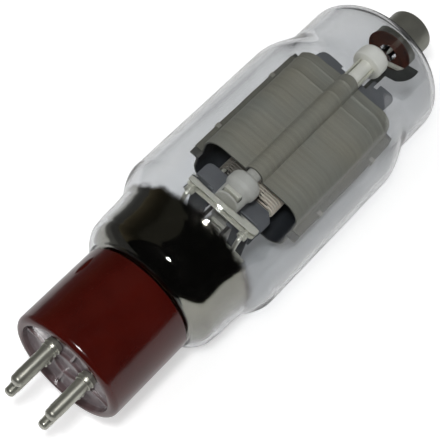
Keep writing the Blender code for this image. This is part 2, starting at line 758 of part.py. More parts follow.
def make_insulators(tube):
    for label, side in (("front", -1), ("rear", 1)):
        y = side * INSULATOR_Y
        lower = turned(f"lower_insulator_{label}", lower_profile(), "ceramic", tube, (0.0, y), 20)
        half_w = KEY_W / 2
        half_h = KEY_H / 2
        middle = BAR_TOP + KEY_RISE
        reach = BODY_R + EMBED
        slot_low = (-half_w - GAP, y - reach, middle - half_h - GAP)
        slot_high = (half_w + GAP, y + reach, middle + half_h + GAP)
        slot = block(f"key_slot_{label}", slot_low, slot_high, "ceramic", tube)
        combine(lower, cutter(slot), "DIFFERENCE")
        reach = WAIST_R + KEY_PROUD
        key_low = (-half_w, y - reach, middle - half_h)
        key_high = (half_w, y + reach, middle + half_h)
        add_bevel(block(f"insulator_key_{label}", key_low, key_high, "nickel", tube), FINE_EDGE)
        turned(f"upper_insulator_{label}", upper_profile(), "ceramic", tube, (0.0, y), 20)
        make_sleeve(label, side, tube)


def make_sleeve(label, side, tube):
    """C-shaped sleeve round the bare spigot, open towards the outside of the tube."""
    inner = SPIGOT_R + GAP
    start = 90 - SLEEVE_OPENING
    end = SLEEVE_OPENING - 270
    outline = arc((0.0, 0.0), inner + SLEEVE_T, start, end, 14) + arc((0.0, 0.0), inner, end, start, 14)
    low = ANODE_TOP + (REAR_EXTRA if side > 0 else 0.0) + GAP
    high = HEAD_FOOT - GAP
    plate(f"spigot_sleeve_{label}", outline, high - low,
          lambda u, v, w: (u, side * (INSULATOR_Y + v), low + w), "nickel", tube)


def anode_section(rise):
    """Closed (x, y) section of the front half; rise moves the pressed beads outwards."""
    lip = GAP / 2
    half_d = ANODE_HALF_D + rise
    body = ANODE_BODY_HALF_W + rise
    turn = (ANODE_BODY_HALF_W - ANODE_CORNER_R, ANODE_CORNER_R - ANODE_HALF_D)
    right_out = [(FLANGE_HALF_W, -lip - ANODE_T), (body + FLANGE_BEND, -lip - ANODE_T)]
    right_out += [(body, -lip - ANODE_T - FLANGE_BEND)]
    right_out += arc(turn, ANODE_CORNER_R + rise, 0, -90, 4)
    right_in = [(FLANGE_HALF_W, -lip), (body - ANODE_T, -lip)]
    right_in += arc(turn, ANODE_CORNER_R - ANODE_T + rise, 0, -90, 4)
    right_in += [(CHANNEL_IN_R, -half_d + ANODE_T)]
    outer = right_out + arc((0.0, -half_d), CHANNEL_OUT_R, 0, -180, 8) + mirrored(right_out)
    inner = right_in + arc((0.0, -half_d), CHANNEL_IN_R, 0, -180, 8) + mirrored(right_in)
    return outer + inner[::-1]


def make_anode(tube):
    """Two pressed halves, flange to flange, each with a round channel for its insulators."""
    beads = []
    for share in BEADS:
        middle = ANODE_FOOT + share * ANODE_H
        beads += [(middle - BEAD_H / 2, 0.0), (middle, BEAD_RISE), (middle + BEAD_H / 2, 0.0)]
    for label, side, extra in (("front", 1, 0.0), ("rear", -1, REAR_EXTRA)):
        levels = [(ANODE_FOOT - extra, 0.0)] + beads + [(ANODE_TOP + extra, 0.0)]
        rings = [[(x, side * y, z) for x, y in anode_section(rise)] for z, rise in levels]
        lofted(f"anode_{label}", rings, "anode_grey", tube)
    make_flange_clips(tube)


def make_flange_clips(tube):
    """Small folded strips that hold the two flanges together."""
    inner = GAP / 2 + ANODE_T + GAP
    outer = inner + CLIP_T
    edge = FLANGE_HALF_W + GAP
    heel = edge - CLIP_REACH
    outline = [(heel, -outer), (edge + CLIP_T, -outer), (edge + CLIP_T, outer), (heel, outer)]
    outline += [(heel, inner), (edge, inner), (edge, -inner), (heel, -inner)]
    for label, side in (("left", -1), ("right", 1)):
        for place, share in CLIP_PLACES:
            low = ANODE_FOOT + share * ANODE_H - CLIP_H / 2
            plate(f"flange_clip_{place}_{label}", [(side * u, v) for u, v in outline], CLIP_H,
                  lambda u, v, w: (u, v, low + w), "nickel", tube, FINE_EDGE)


def make_grid(tube):
    """Flattened helix wound round two rods, with a cooling plate at the foot of each rod."""
    centre = GRID_ROD_X + GRID_ROD_R + GAP + GRID_WIRE_R - GRID_HALF_D
    loop = arc((centre, 0.0), GRID_HALF_D, -90, 90, 3) + arc((-centre, 0.0), GRID_HALF_D, 90, 270, 3)
    foot = ANODE_FOOT + GRID_IN_LOW
    turns = int((ANODE_TOP - GRID_IN_TOP - foot) / GRID_PITCH)
    path = []
    for turn in range(turns):
        for i, (x, y) in enumerate(loop):
            path.append((x, y, foot + GRID_PITCH * (turn + i / len(loop))))
    wire("grid_winding", path, GRID_WIRE_R, "gold_wire", tube, 0)
    rod_foot = BAR_TOP + RADIATOR_T + 2 * GAP
    rod_top = BRIDGE_Z + BRIDGE_T + GRID_ROD_PROUD
    for label, side in (("left", -1), ("right", 1)):
        x = side * GRID_ROD_X
        wire(f"grid_rod_{label}", [(x, 0.0, rod_foot), (x, 0.0, rod_top)], GRID_ROD_R, "nickel", tube, 2)
        make_radiator(label, side, tube)


def make_radiator(label, side, tube):
    """Dark cooling plate on the grid rod, with a foot across both crossbars."""
    front = -GRID_ROD_R - GAP
    low = BAR_TOP + GAP
    high = ANODE_FOOT - RADIATOR_CLEAR
    near, far = RADIATOR_LEFT if side < 0 else RADIATOR_RIGHT
    outline = [(near, low), (far, low)]
    if side < 0:
        corner = high - RADIATOR_ROUND
        outline += arc((far - RADIATOR_ROUND, corner), RADIATOR_ROUND, 0, 90, 4)
        outline += arc((near + RADIATOR_ROUND, corner), RADIATOR_ROUND, 90, 180, 4)
    else:
        outline += [(far, high - RADIATOR_CUT), (far - RADIATOR_CUT, high), (near, high)]
    body = plate(f"grid_radiator_{label}", [(side * u, v) for u, v in outline], RADIATOR_T,
                 lambda u, v, w: (u, front - w, v), "dark_plate", tube)
    reach = INSULATOR_Y + BAR_W / 2
    sides = sorted(side * along for along in RADIATOR_FOOT)
    foot = block(f"radiator_foot_{label}", (sides[0], -reach, low), (sides[1], reach, low + RADIATOR_T),
                 "dark_plate", tube)
    combine(body, cutter(foot), "UNION")


def make_filament(tube):
    """M-shaped wire between the two leads, held up by two hooks."""
    top_r = (LEAD_X - FILAMENT_INNER_X) / 2
    start = BAR_TOP + LEAD_RISE + GAP
    low = ANODE_FOOT - FILAMENT_DROP
    left = [(-LEAD_X, start)] + arc((top_r - LEAD_X, FILAMENT_TOP - top_r), top_r, 180, 0, 6)
    path = left + arc((0.0, low + FILAMENT_INNER_X), FILAMENT_INNER_X, 180, 360, 6) + mirrored(left)
    wire("filament", [(x, 0.0, z) for x, z in path], FILAMENT_R, "tungsten", tube)
    reach = 2 * FILAMENT_R + GAP
    crook = FILAMENT_TOP - FILAMENT_R - GAP
    bow = crook - 2 * FILAMENT_R
    for label, x in (("left", top_r - LEAD_X), ("right", LEAD_X - top_r)):
        bend = [(x, 0.0, BRIDGE_Z - GAP), (x, 0.0, FILAMENT_TOP + HOOK_SHANK)]
        bend += [(x, reach, FILAMENT_TOP + HOOK_KNEE), (x, reach, crook), (x, reach * HOOK_BOW, bow)]
        bend += [(x, -reach * HOOK_BOW, bow), (x, -reach, crook)]
        wire(f"filament_hook_{label}", bend, FILAMENT_R, "nickel", tube)


def make_bridge(tube):
    """Cross-shaped plate between the insulator heads, with eyes for the grid rods."""
    arm = INSULATOR_Y - BODY_R - GAP
    half = BRIDGE_HALF_W
    turn = math.degrees(math.asin(BRIDGE_NECK / EYE_R))
    right = [(half, -arm), (half, -BRIDGE_NECK)]
    right += arc((GRID_ROD_X, 0.0), EYE_R, turn - 180, 180 - turn, 12)
    right += [(half, BRIDGE_NECK), (half, arm)]
    bridge = plate("grid_bridge", right + mirrored(right), BRIDGE_T,
                   lambda u, v, w: (u, v, BRIDGE_Z + w), "dark_plate", tube)
    low = BRIDGE_Z - EMBED
    high = BRIDGE_Z + BRIDGE_T + EMBED
    for label, x in (("left", -GRID_ROD_X), ("right", GRID_ROD_X)):
        eye = rod_cutter(f"eye_{label}", GRID_ROD_R + GAP, low, high, (x, 0.0), tube)
        combine(bridge, eye, "DIFFERENCE")


def make_anode_tab(tube):
    """Plate behind the front sleeve, with a low wing, a notched ear and a strap to the lead."""
    corner_x = ANODE_BODY_HALF_W - ANODE_CORNER_R
    corner_y = ANODE_CORNER_R - ANODE_HALF_D
    corner_r = ANODE_CORNER_R - ANODE_T - GAP
    side = corner_x + math.sqrt(corner_r ** 2 - (TAB_Y - corner_y) ** 2)
    foot = ANODE_TOP - TAB_IN
    shelf = ANODE_TOP - TAB_SHELF
    middle = ANODE_TOP + TAB_RISE
    ear_out = EAR_IN + EAR_W
    ear_top = ANODE_TOP + EAR_RISE
    notch_in = EAR_IN + NOTCH_IN
    notch_out = notch_in + NOTCH_W
    wing_out = WING_IN + WING_W
    wing_top = ANODE_TOP + WING_RISE
    outline = [(-side, foot), (side, foot), (side, shelf), (ear_out, shelf)]
    outline += arc((ear_out - EAR_ROUND, ear_top - EAR_ROUND), EAR_ROUND, 0, 90, 5)
    outline += [(notch_out, ear_top), (notch_out, ear_top - NOTCH_DEPTH)]
    outline += [(notch_in, ear_top - NOTCH_DEPTH), (notch_in, ear_top), (EAR_IN + EAR_CUT, ear_top)]
    outline += [(EAR_IN, ear_top - EAR_CUT), (EAR_IN, middle), (-WING_IN, middle), (-WING_IN, wing_top)]
    outline += arc((WING_ROUND - wing_out, wing_top - WING_ROUND), WING_ROUND, 90, 180, 4)
    outline += [(-wing_out, shelf), (-side, shelf)]
    plate("anode_tab", outline, TAB_T, lambda u, v, w: (u, TAB_Y + w, v), "dark_plate", tube)
    strap_y = TAB_Y + TAB_T + GAP
    make_strap(strap_y, middle - STRAP_LAP, tube)


def make_strap(strap_y, foot, tube):
    """Crescent strap beside the front head, and the lead from it up into the cap."""
    near = math.sqrt((BODY_R + GAP) ** 2 - (INSULATOR_Y + strap_y) ** 2)
    far = near + STRAP_FOOT_W
    centre = (STRAP_X, DOME_TOP - STRAP_DROP)
    inner_r = STRAP_R - STRAP_W
    start = -math.degrees(math.acos((far - STRAP_X) / STRAP_R))
    end = -math.degrees(math.acos((near - STRAP_X) / inner_r))
    outline = [(near, foot), (far, foot)] + arc(centre, STRAP_R, start, STRAP_END, 10)
    outline += arc(centre, inner_r, STRAP_END, end, 10)
    plate("anode_strap", outline, STRAP_T, lambda u, v, w: (u, strap_y + w, v), "dark_plate", tube)
    lean = strap_y + STRAP_T + GAP + WIRE_R
    straight = DOME_TOP - GLASS_T - BEAD_DROP - EMBED
    out, back, up = LEAD_ELBOW
    bend = [(0.0, 0.0, CAP_TOP - CAP_WALL - GAP), (0.0, 0.0, straight), (out, back, straight + up)]
    bend += [(STRAP_X + STRAP_R - STRAP_W / 2, lean, centre[1])]
    wire("anode_lead", bend, WIRE_R, "nickel", tube, 2)


def make_getter(tube):
    """Getter ring behind the mount, on a strut welded to a rear rod."""
    ring = arc((GETTER_RING_R, PRESS_TOP), GETTER_WIRE_R, 0, 315, 7)
    turned("getter_ring", ring, "nickel", tube, (0.0, GETTER_Y), 16)
    tip_x = -GETTER_RING_R - GETTER_WIRE_R - GAP - STRUT_R
    rod_side = ROD_R + GAP + STRUT_R - ROD_X
    (out_a, along_a, up_a), (out_b, along_b, up_b) = STRUT_ELBOWS
    strut = [(rod_side, ROD_Y, PRESS_TOP + STRUT_RISE)]
    strut += [(rod_side - out_a, ROD_Y + along_a, PRESS_TOP + STRUT_RISE * up_a)]
    strut += [(tip_x - out_b, GETTER_Y - along_b, PRESS_TOP + STRUT_RISE * up_b)]
    strut += [(tip_x, GETTER_Y, PRESS_TOP)]
    wire("getter_strut", smooth_path(strut, 4), STRUT_R, "nickel", tube)


def dome_height(radius):
    return DOME_FOOT + DOME_H * math.sqrt(1 - (radius / UP_R) ** 2)


def make_cap(tube):
    """Plated cap over the dome's pole, bedded in dark cement."""
    lip_r = CAP_R + CEMENT_LIP
    lip_top = dome_height(lip_r) + GAP + CEMENT_LIP_T
    inner_r = CAP_R - CAP_WALL
    plug_r = inner_r - GAP
    steps = 4
    profile = []
    for i in range(steps + 1):
        r = LEAD_HOLE_R + (lip_r - LEAD_HOLE_R) * i / steps
        profile.append((r, dome_height(r) + GAP))
    plug_top = DOME_TOP + PLUG_H
    profile += [(lip_r, lip_top), (plug_r, lip_top), (plug_r, plug_top), (LEAD_HOLE_R, plug_top)]
    turned("cap_cement", profile, "cap_cement", tube, facets=20)
    skirt = lip_top + GAP
    profile = [(inner_r, skirt), (CAP_R - FINE_EDGE, skirt), (CAP_R, skirt + FINE_EDGE)]
    profile += arc((CAP_R - CAP_ROUND, CAP_TOP - CAP_ROUND), CAP_ROUND, 0, 90, 3)
    profile += [(0.0, CAP_TOP), (0.0, CAP_TOP - CAP_WALL), (inner_r, CAP_TOP - CAP_WALL)]
    turned("top_cap", profile, "pin_metal", tube, facets=24)


def main():
    clear_scene()
    tube = empty("tube_axis")
    tube.matrix_world = (Matrix.Translation(Vector((-MID_LENGTH, 0.0, AXIS_HEIGHT)) * MM)
                         @ Matrix.Rotation(math.radians(-FACE_ELEVATION), 4, "X")
                         @ Matrix.Rotation(math.radians(90), 4, "Y"))
    base = empty("base_axis", tube)
    base.rotation_euler.z = math.radians(BASE_TURN)
    make_base(base)
    make_pins(base)
    make_base_cement(base)
    make_envelope(tube)
    make_stem(tube)
    make_rods(tube)
    make_pin_wires(base, tube)
    make_crossbars(tube)
    make_insulators(tube)
    make_anode(tube)
    make_grid(tube)
    make_filament(tube)
    make_bridge(tube)
    make_anode_tab(tube)
    make_getter(tube)
    make_cap(tube)


main()
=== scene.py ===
"""Looks of a glass power triode that lies on a pale floor.

Pieces are modelled in millimetres in the tube's own frame, with Z from the base to the top cap,
the front of the mount towards -Y, and Z = 0 at the rim of the base. TUBE lays them along world X.
Floor, lamps and the noise of the materials are in metres.
"""

import json
import math

import bmesh
import bpy
from mathutils import Matrix, Vector


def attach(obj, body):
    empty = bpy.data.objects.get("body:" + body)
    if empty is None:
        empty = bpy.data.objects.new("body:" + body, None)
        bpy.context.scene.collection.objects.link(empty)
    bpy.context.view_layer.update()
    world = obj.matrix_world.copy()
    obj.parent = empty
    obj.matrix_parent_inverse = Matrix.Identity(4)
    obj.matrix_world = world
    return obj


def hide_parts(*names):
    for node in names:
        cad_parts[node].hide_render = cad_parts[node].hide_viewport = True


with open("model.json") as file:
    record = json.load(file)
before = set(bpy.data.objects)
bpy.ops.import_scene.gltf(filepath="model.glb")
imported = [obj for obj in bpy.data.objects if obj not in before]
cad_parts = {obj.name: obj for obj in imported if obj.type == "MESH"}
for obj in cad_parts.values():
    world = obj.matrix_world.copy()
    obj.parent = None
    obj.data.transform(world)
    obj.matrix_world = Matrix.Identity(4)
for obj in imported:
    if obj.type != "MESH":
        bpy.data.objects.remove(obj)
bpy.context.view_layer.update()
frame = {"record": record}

MM = 0.001

# General
GAP = 0.3
BULB_FACETS = 36                  # facets of the bulb's solid, which rests on one of them
ROUND_SHARE = math.cos(math.pi / BULB_FACETS)    # a true circle inside those facets
FACE_ELEVATION = 75.0
BASE_TURN = 6.5
CREASE = 35.0                     # degrees at which an edge stays sharp
GLASS_CREASE = 70.0
EDGE_W = 0.08                     # fine bevel of a solid's edges

# Base
BASE_R = 17.4
BASE_H = 28.0
BASE_WALL = 1.8
RIM_WALL = 2.7
FOOT_ROUND = 1.7
RIM_ROUND = 0.5
RECESS = 2.0
FLOOR_TOP = 4.0
HUB_R = 5.27
HUB_WALL = 0.9
HUB_EDGE = 0.2
RIB_W = 0.7
RIB_H = 1.1
RIB_DROP = 0.15                   # the ribs end this much deeper than the hub ring
SUNK = 1.0                        # how far a joined or cutting tool reaches past a face
LUG_ANGLE = 152.0
LUG_Z = 21.0
LUG_LENGTH = 6.8
LUG_WIDTH = 3.0
LUG_SEEN = 0.35
LUG_STEPS = 12

# Pins
PIN_CIRCLE_R = 8.2
PIN_PITCH = 12.0
THICK_PIN_R = 1.98
THIN_PIN_R = 1.59
PIN_REACH = 13.2
PIN_TIP_H = 2.6                   # soldered tip
PIN_TIP_EDGE = 0.4
PIN_COLLAR = 0.65
PIN_COLLAR_R = 0.30
PIN_COLLAR_Z = 0.45
PIN_ROLL_R = 0.24                 # small roll below the collar
PIN_ROLL_Z = -0.72
PIN_SHANK_SHARE = 0.72            # shank in the base's floor, as a share of the pin's radius
PIN_HEAD_OUT = 0.3
PIN_HEAD_H = 0.7

# Bulb
GLASS_T = 1.2
NECK_R = 14.0
NECK_FOOT = 10.0
NECK_TURN = ((0.0, -1.5), (0.15, -1.05), (0.6, -0.4), (1.5, 0.1))   # out and up from the seat
SEAT = BASE_H + GAP
BULGE_FOOT = SEAT + 0.15
BULGE_FOOT_R = 17.2
BULGE_H = 6.4
LOW_R = 21.8
LOW_TOP_R = 22.6
LOW_TOP = 44.8
MAIN_R = 26.2
MAIN_FOOT = 54.2
MAIN_TOP = 106.0
UP_R = 22.5
UP_FOOT = 120.0
DOME_FOOT = 130.7
DOME_H = 10.8
DOME_TOP = DOME_FOOT + DOME_H
BEAD_R = 2.8
BEAD_DROP = 2.2
BEAD_EDGE = 0.4
LEAD_HOLE_R = 1.1
SIDE_STEPS = 14                   # steps of each curve in the bulb's side
BULB_SPIN = 144

# Getter film
FILM_CLEAR = 0.05                 # off the glass
FILM_T = 0.07
FILM_TOP = 53.0                   # where its mesh ends, past the place where it has faded out
FILM_FADE_TOP = 49.0
FILM_FADE = 2.4

# Mount
BAR_TOP = 61.0
ANODE_FOOT = 73.3
ANODE_H = 43.5
ANODE_TOP = ANODE_FOOT + ANODE_H
REAR_EXTRA = 2.0
ANODE_T = 0.7
ANODE_HALF_D = 10.0
ANODE_HALF_W = 17.0
ANODE_EDGE = 0.12
FLANGE_W = 2.5
FLANGE_FILLET = 0.5
CORNER_R = 6.0
RIDGE_SHARES = (0.80, 0.92)       # places of the two pressed ridges up the anode
RIDGE_SECTION = ((-0.6, 0.0), (-0.35, 0.07), (0.0, 0.20), (0.35, 0.07), (0.6, 0.0))   # up and out
CLIP_SHARES = (("lower", 0.22), ("upper", 0.78))
CLIP_HALF_H = 0.7
CLIP_T = 0.25
CLIP_CLEAR = 0.05
CLIP_GRIP = 1.2

# Insulators
SPIGOT_R = 2.1
SPIGOT_IN = 6.0
SPIGOT_ROUND = 0.5
SPIGOT_EDGE = 0.4
BODY_R = 4.7
WAIST_R = 3.95
WAIST_EDGE = 0.4
WAIST_H = 4.4
SWELL_FOOT = 4.6
SWELL_TOP = 6.0
SHOULDER = 70.9
SHOULDER_ROUND = 1.8
KEY_RISE = 1.9
KEY_SLOT_HALF_W = 2.8
KEY_SLOT_HALF_H = 0.95
KEY_SLOT_REACH = 6.0
HEAD_FOOT = 123.8
HEAD_TOP = 129.6
HEAD_EDGE = 0.5
HEAD_ROUND = 1.9

# Grid
GRID_ROD_X = 8.7
GRID_ROD_R = 0.6
GRID_HALF_D = 2.4
WIRE_R = 0.30
WIRE_OUT = 0.45                   # middle of the wire off the rod's outer side
WIRE_PITCH = 0.9
WINDING_FOOT = ANODE_FOOT - 0.5
WINDING_H = ANODE_H - 3.7

# Cap
CAP_R = 7.15
CAP_WALL = 0.5
CAP_TOP = 152.6
CAP_EDGE = 0.2
CAP_ROUND = 1.0
CEMENT_LIP_R = CAP_R + 0.35
CEMENT_LIP_H = 0.5
CEMENT_BEVEL = 0.1
PLUG_H = 4.0

MID_LENGTH = (CAP_TOP - PIN_REACH) / 2
AXIS_HEIGHT = MAIN_R * ROUND_SHARE

TUBE = (Matrix.Translation(Vector((-MID_LENGTH, 0.0, AXIS_HEIGHT)) * MM)
        @ Matrix.Rotation(math.radians(-FACE_ELEVATION), 4, "X")
        @ Matrix.Rotation(math.radians(90), 4, "Y") @ Matrix.Scale(MM, 4))
TUBE_SIDE = TUBE.to_3x3().col[0].normalized()
BASE = TUBE @ Matrix.Rotation(math.radians(BASE_TURN), 4, "Z")

# Camera: the photograph's view, worked out from the tube's outline
VIEW_PIXELS = 440.0               # width of the photograph
VIEW_F = 1400.0                   # focal length in its pixels
VIEW_ELEVATION = 54.96
VIEW_AZIMUTH = 39.83
VIEW_POINT = Vector((-2.95, 0.0, AXIS_HEIGHT))
VIEW_OFFSET = Vector((2.99, 3.70, 386.1))     # right, up and forward, from the camera to that point
SENSOR = 36.0

# Floor and light, in metres
STAGE_RINGS = ((1.2, -0.0001), (1.9, 0.01), (2.15, 0.08), (2.25, 0.25), (2.3, 0.55))   # radius, height
FLOOR_LIFT = 0.45
FLOOR_SHEEN = 0.06
SHEET_HALF_L = 0.40               # lit sheet that metal and glass see
SHEET_HALF_W = 0.26
SHEET_X = 0.12
SHEET_Y = -0.04
DOME_PATCH_X = 0.025
DOME_PATCH_Y = 0.012
DOME_PATCH_HALF_W = 0.028
ROOM_EDGE = 0.20
ROOM_SLANT = 0.7
WORLD_LEVEL = 0.35
CEILING_LEVEL = 0.006
THROUGH_LEVEL = 0.6
LAMP_TARGET = Vector((0.0, 0.0, 0.03))


class Look:
    """The nodes of a material or of the world, with short ways to add to them."""

    def __init__(self, name, world=False):
        self.block = bpy.data.worlds.new(name) if world else bpy.data.materials.new(name)
        self.block.use_nodes = True
        self.tree = self.block.node_tree
        self.shader = self.tree.nodes["Background" if world else "Principled BSDF"]
        self.coords = self.node("TexCoord").outputs["Generated" if world else "Object"]

    def node(self, kind, inputs=None, **settings):
        made = self.tree.nodes.new("ShaderNode" + kind)
        for key, value in settings.items():
            setattr(made, key, value)
        for key, value in (inputs or {}).items():
            self.put(made.inputs[key], value)
        return made

    def put(self, socket, value):
        if isinstance(value, bpy.types.NodeSocket):
            self.tree.links.new(value, socket)
        elif socket.type == "RGBA" and len(value) == 3:
            socket.default_value = (*value, 1.0)
        else:
            socket.default_value = value

    def set(self, **inputs):
        """Inputs of the main shader, such as base_color."""
        for key, value in inputs.items():
            name = key.replace("_", " ").title().replace("Ior", "IOR")
            self.put(self.shader.inputs[name], value)

    def axis(self, name):
        return self.node("SeparateXYZ", {0: self.coords}).outputs[name]

    def noise(self, scale, detail=3.0, roughness=0.5, stretch=(1.0, 1.0, 1.0)):
        """Noise on the piece, with scale in waves per metre."""
        vector = self.node("Mapping", {"Vector": self.coords, "Scale": stretch}).outputs[0]
        inputs = {"Vector": vector, "Scale": scale, "Detail": detail, "Roughness": roughness}
        return self.node("TexNoise", inputs).outputs["Fac"]

    def ramp(self, value, stops, smooth=False):
        """Colours or grey levels by value; stops are (place, colour or level)."""
        made = self.node("ValToRGB", {"Fac": value})
        band = made.color_ramp
        band.interpolation = "EASE" if smooth else "LINEAR"
        while len(band.elements) < len(stops):
            band.elements.new(0.5)
        for element, (place, level) in zip(band.elements, stops):
            element.position = place
            colour = level if isinstance(level, tuple) else (level, level, level)
            element.color = (*colour, 1.0)
        return made.outputs["Color"]

    def between(self, value, low, high, start=0.3, end=0.7):
        """Colour or level from low to high; noise mostly lies between the start and the end."""
        return self.ramp(value, ((start, low), (end, high)))

    def blend(self, share, first, second, mode="MIX"):
        made = self.node("Mix", data_type="RGBA", blend_type=mode)
        self.put(made.inputs[0], share)
        self.put(made.inputs[6], first)
        self.put(made.inputs[7], second)
        return made.outputs[2]

    def math(self, operation, first, second=0.0, clamp=False):
        return self.node("Math", {0: first, 1: second}, operation=operation, use_clamp=clamp).outputs[0]

    def step(self, value, start, slope):
        """0 before the start and up to 1 past it, by the slope; a negative slope runs the other way."""
        return self.math("MULTIPLY", self.math("SUBTRACT", value, start), slope, clamp=True)

    def vector(self, operation, first, second=(0.0, 0.0, 0.0)):
        """Vector or, for a product or a length, its value."""
        made = self.node("VectorMath", {0: first, 1: second}, operation=operation)
        return made.outputs["Value" if operation in ("DOT_PRODUCT", "LENGTH") else "Vector"]

    def bump(self, height, distance, strength, under=None):
        inputs = {"Height": height, "Distance": distance, "Strength": strength}
        if under is not None:
            inputs["Normal"] = under
        return self.node("Bump", inputs).outputs["Normal"]


def off_axis(look, point):
    """Vector out to a point from the tube's axis, and square to it."""
    apart = look.vector("SUBTRACT", point, (0.0, 0.0, AXIS_HEIGHT * MM))
    return look.vector("MULTIPLY", apart, (0.0, 1.0, 1.0))


def from_middle(look):
    """Distance to the right of the plane through the tube's axis and its front, in metres."""
    aside = look.vector("DOT_PRODUCT", look.coords, TUBE_SIDE)
    return look.math("SUBTRACT", aside, TUBE_SIDE.z * AXIS_HEIGHT * MM)


def inner_faces(look):
    """1 on faces that look towards the tube's axis, 0 on those that look away from it."""
    geometry = look.node("NewGeometry")
    outward = look.vector("NORMALIZE", off_axis(look, geometry.outputs["Position"]))
    facing = look.vector("DOT_PRODUCT", outward, geometry.outputs["Normal"])
    return look.math("SUBTRACT", 0.5, look.math("MULTIPLY", facing, 8.0), clamp=True)


def recess_reflection_share(look):
    """Share of the painted floor reflection in the shell's recess: full on its floor, less on the walls and
    ribs, 0 outside.
    """
    deep = look.step(look.axis("X"), (RECESS + 0.3 - MID_LENGTH) * MM, -5000.0)
    apart = look.vector("LENGTH", off_axis(look, look.coords))
    within = look.step(apart, (BASE_R - RIM_WALL + 0.25) * MM, -5000.0)
    off_floor = look.math("ABSOLUTE", look.math("SUBTRACT", look.axis("X"), (RECESS - MID_LENGTH) * MM))
    flat = look.math("SUBTRACT", 1.0, look.math("MULTIPLY", off_floor, 2000.0), clamp=True)
    share = look.math("ADD", 0.45, look.math("MULTIPLY", flat, 0.55))
    return look.math("MULTIPLY", look.math("MULTIPLY", deep, within), share)


def phenolic():
    """Dark red-brown moulding with fine specks, with a pale painted reflection of the floor in its recess.
    """
    look = Look("phenolic")
    cloud = look.between(look.noise(90, 4), (0.036, 0.0022, 0.0012), (0.052, 0.0042, 0.0024))
    specks = look.between(look.noise(2600, 1), 0.0, 1.0, 0.70, 0.78)
    body = look.blend(look.math("MULTIPLY", specks, 0.12), cloud, (0.10, 0.06, 0.05))
    # painted reflection: pale grey in the recess stands in for the floor mirrored there
    painted_floor_reflection = look.between(look.noise(300, 4), (0.165, 0.140, 0.146), (0.235, 0.200, 0.210))
    look.set(base_color=look.blend(recess_reflection_share(look), body, painted_floor_reflection))
    look.set(roughness=look.between(look.noise(400, 5, 0.6), 0.13, 0.22, end=0.75))
    flow = look.bump(look.noise(120, 2), 0.0004, 0.12)
    look.set(normal=look.bump(look.noise(2200, 3), 0.00003, 0.25, flow))
    return look.block


def glass():
    """Clear glass that lets the lamps through, a little uneven as blown glass is."""
    look = Look("glass")
    tint = (0.84, 0.85, 0.86)
    shade = look.between(look.noise(45, 2), tuple(c * 0.985 for c in tint), tint)
    look.set(base_color=shade, transmission_weight=1.0, roughness=0.0, ior=1.47)
    look.set(normal=look.bump(look.noise(70, 2, 0.4), 0.0006, 0.10))
    path = look.node("LightPath")
    lamp_rays = look.math("MAXIMUM", path.outputs["Is Shadow Ray"], path.outputs["Is Diffuse Ray"])
    window = look.node("BsdfTransparent", {"Color": (0.90, 0.91, 0.92)})
    mix = look.node("MixShader", {0: lamp_rays, 1: look.shader.outputs[0], 2: window.outputs[0]})
    look.put(look.tree.nodes["Material Output"].inputs["Surface"], mix.outputs[0])
    return look.block


def getter_film():
    """Dark mirror that thins out at its ragged edges."""
    look = Look("getter_film")
    along = look.axis("X")
    height = look.axis("Z")
    ragged = look.math("MULTIPLY", look.math("SUBTRACT", look.noise(160, 4, 0.55), 0.5), 0.0042)
    sag = look.math("MULTIPLY", look.math("SUBTRACT", 0.048, height), 0.055)
    edge = look.math("ADD", look.math("ADD", along, sag), ragged)
    level = look.step(edge, (FILM_FADE_TOP - MID_LENGTH) * MM, -1 / (FILM_FADE * MM))
    thick = look.ramp(level, ((0.0, 0.0), (1.0, 1.0)), True)
    stops = ((0.0, (0.10, 0.06, 0.03)), (0.5, (0.20, 0.17, 0.14)), (0.9, (0.36, 0.345, 0.285)))
    tone = look.ramp(level, stops)
    mottle = look.between(look.noise(220, 4), 0.88, 1.0)
    look.set(base_color=look.blend(1.0, tone, mottle, "MULTIPLY"), metallic=1.0)
    look.set(roughness=look.between(look.noise(300, 3), 0.03, 0.09), alpha=thick)
    return look.block


def metal(name, colour, roughness, grain, stretch=(1.0, 1.0, 1.0), share=1.0):
    """Drawn or rolled metal with fine grain and faint stains; share is how metallic it is."""
    look = Look(name)
    dull = tuple(c * 0.8 for c in colour)
    look.set(base_color=look.between(look.noise(140, 4, 0.6), dull, colour), metallic=share)
    fine = look.noise(grain, 3, 0.6, stretch)
    look.set(roughness=look.between(fine, roughness * 0.8, min(1.0, roughness * 1.25), 0.25, 0.75))
    look.set(normal=look.bump(fine, 0.00003, 0.35))
    return look.block


def anode_grey():
    """Matt warm grey with fine cross striations, painted shade on the flanges, and dark inside."""
    look = Look("anode_grey")
    lines = look.noise(1.0, 4, 0.65, (900, 25, 25))
    tone = look.between(lines, (0.213, 0.207, 0.168), (0.303, 0.295, 0.241), 0.25, 0.75)
    warm = look.between(look.noise(60, 3), (0.92, 0.95, 1.0), (1.0, 0.97, 0.93))
    outside = look.blend(1.0, tone, warm, "MULTIPLY")
    aside = look.math("ABSOLUTE", from_middle(look))
    # painted shade: the flanges are darkened as if they lay in shade
    flange = look.step(aside, (ANODE_HALF_W + 0.1) * MM, 2500.0)
    outside = look.blend(look.math("MULTIPLY", flange, 0.4), outside, (0.02, 0.02, 0.02))
    look.set(base_color=look.blend(inner_faces(look), outside, (0.030, 0.034, 0.040)), metallic=0.15)
    look.set(roughness=look.between(lines, 0.50, 0.64))
    look.set(normal=look.bump(lines, 0.00006, 0.35))
    return look.block


def grid_wire():
    """Pale plated wire, darker along the grid's left side."""
    look = Look("gold_wire")
    bright = look.between(look.noise(140, 4, 0.6), (0.92, 0.82, 0.69), (1.0, 0.90, 0.76))
    right = look.step(from_middle(look), -0.0025, 400.0)
    look.set(base_color=look.blend(right, (0.20, 0.18, 0.15), bright))
    look.set(roughness=look.between(look.noise(1500, 3), 0.28, 0.42))
    return look.block


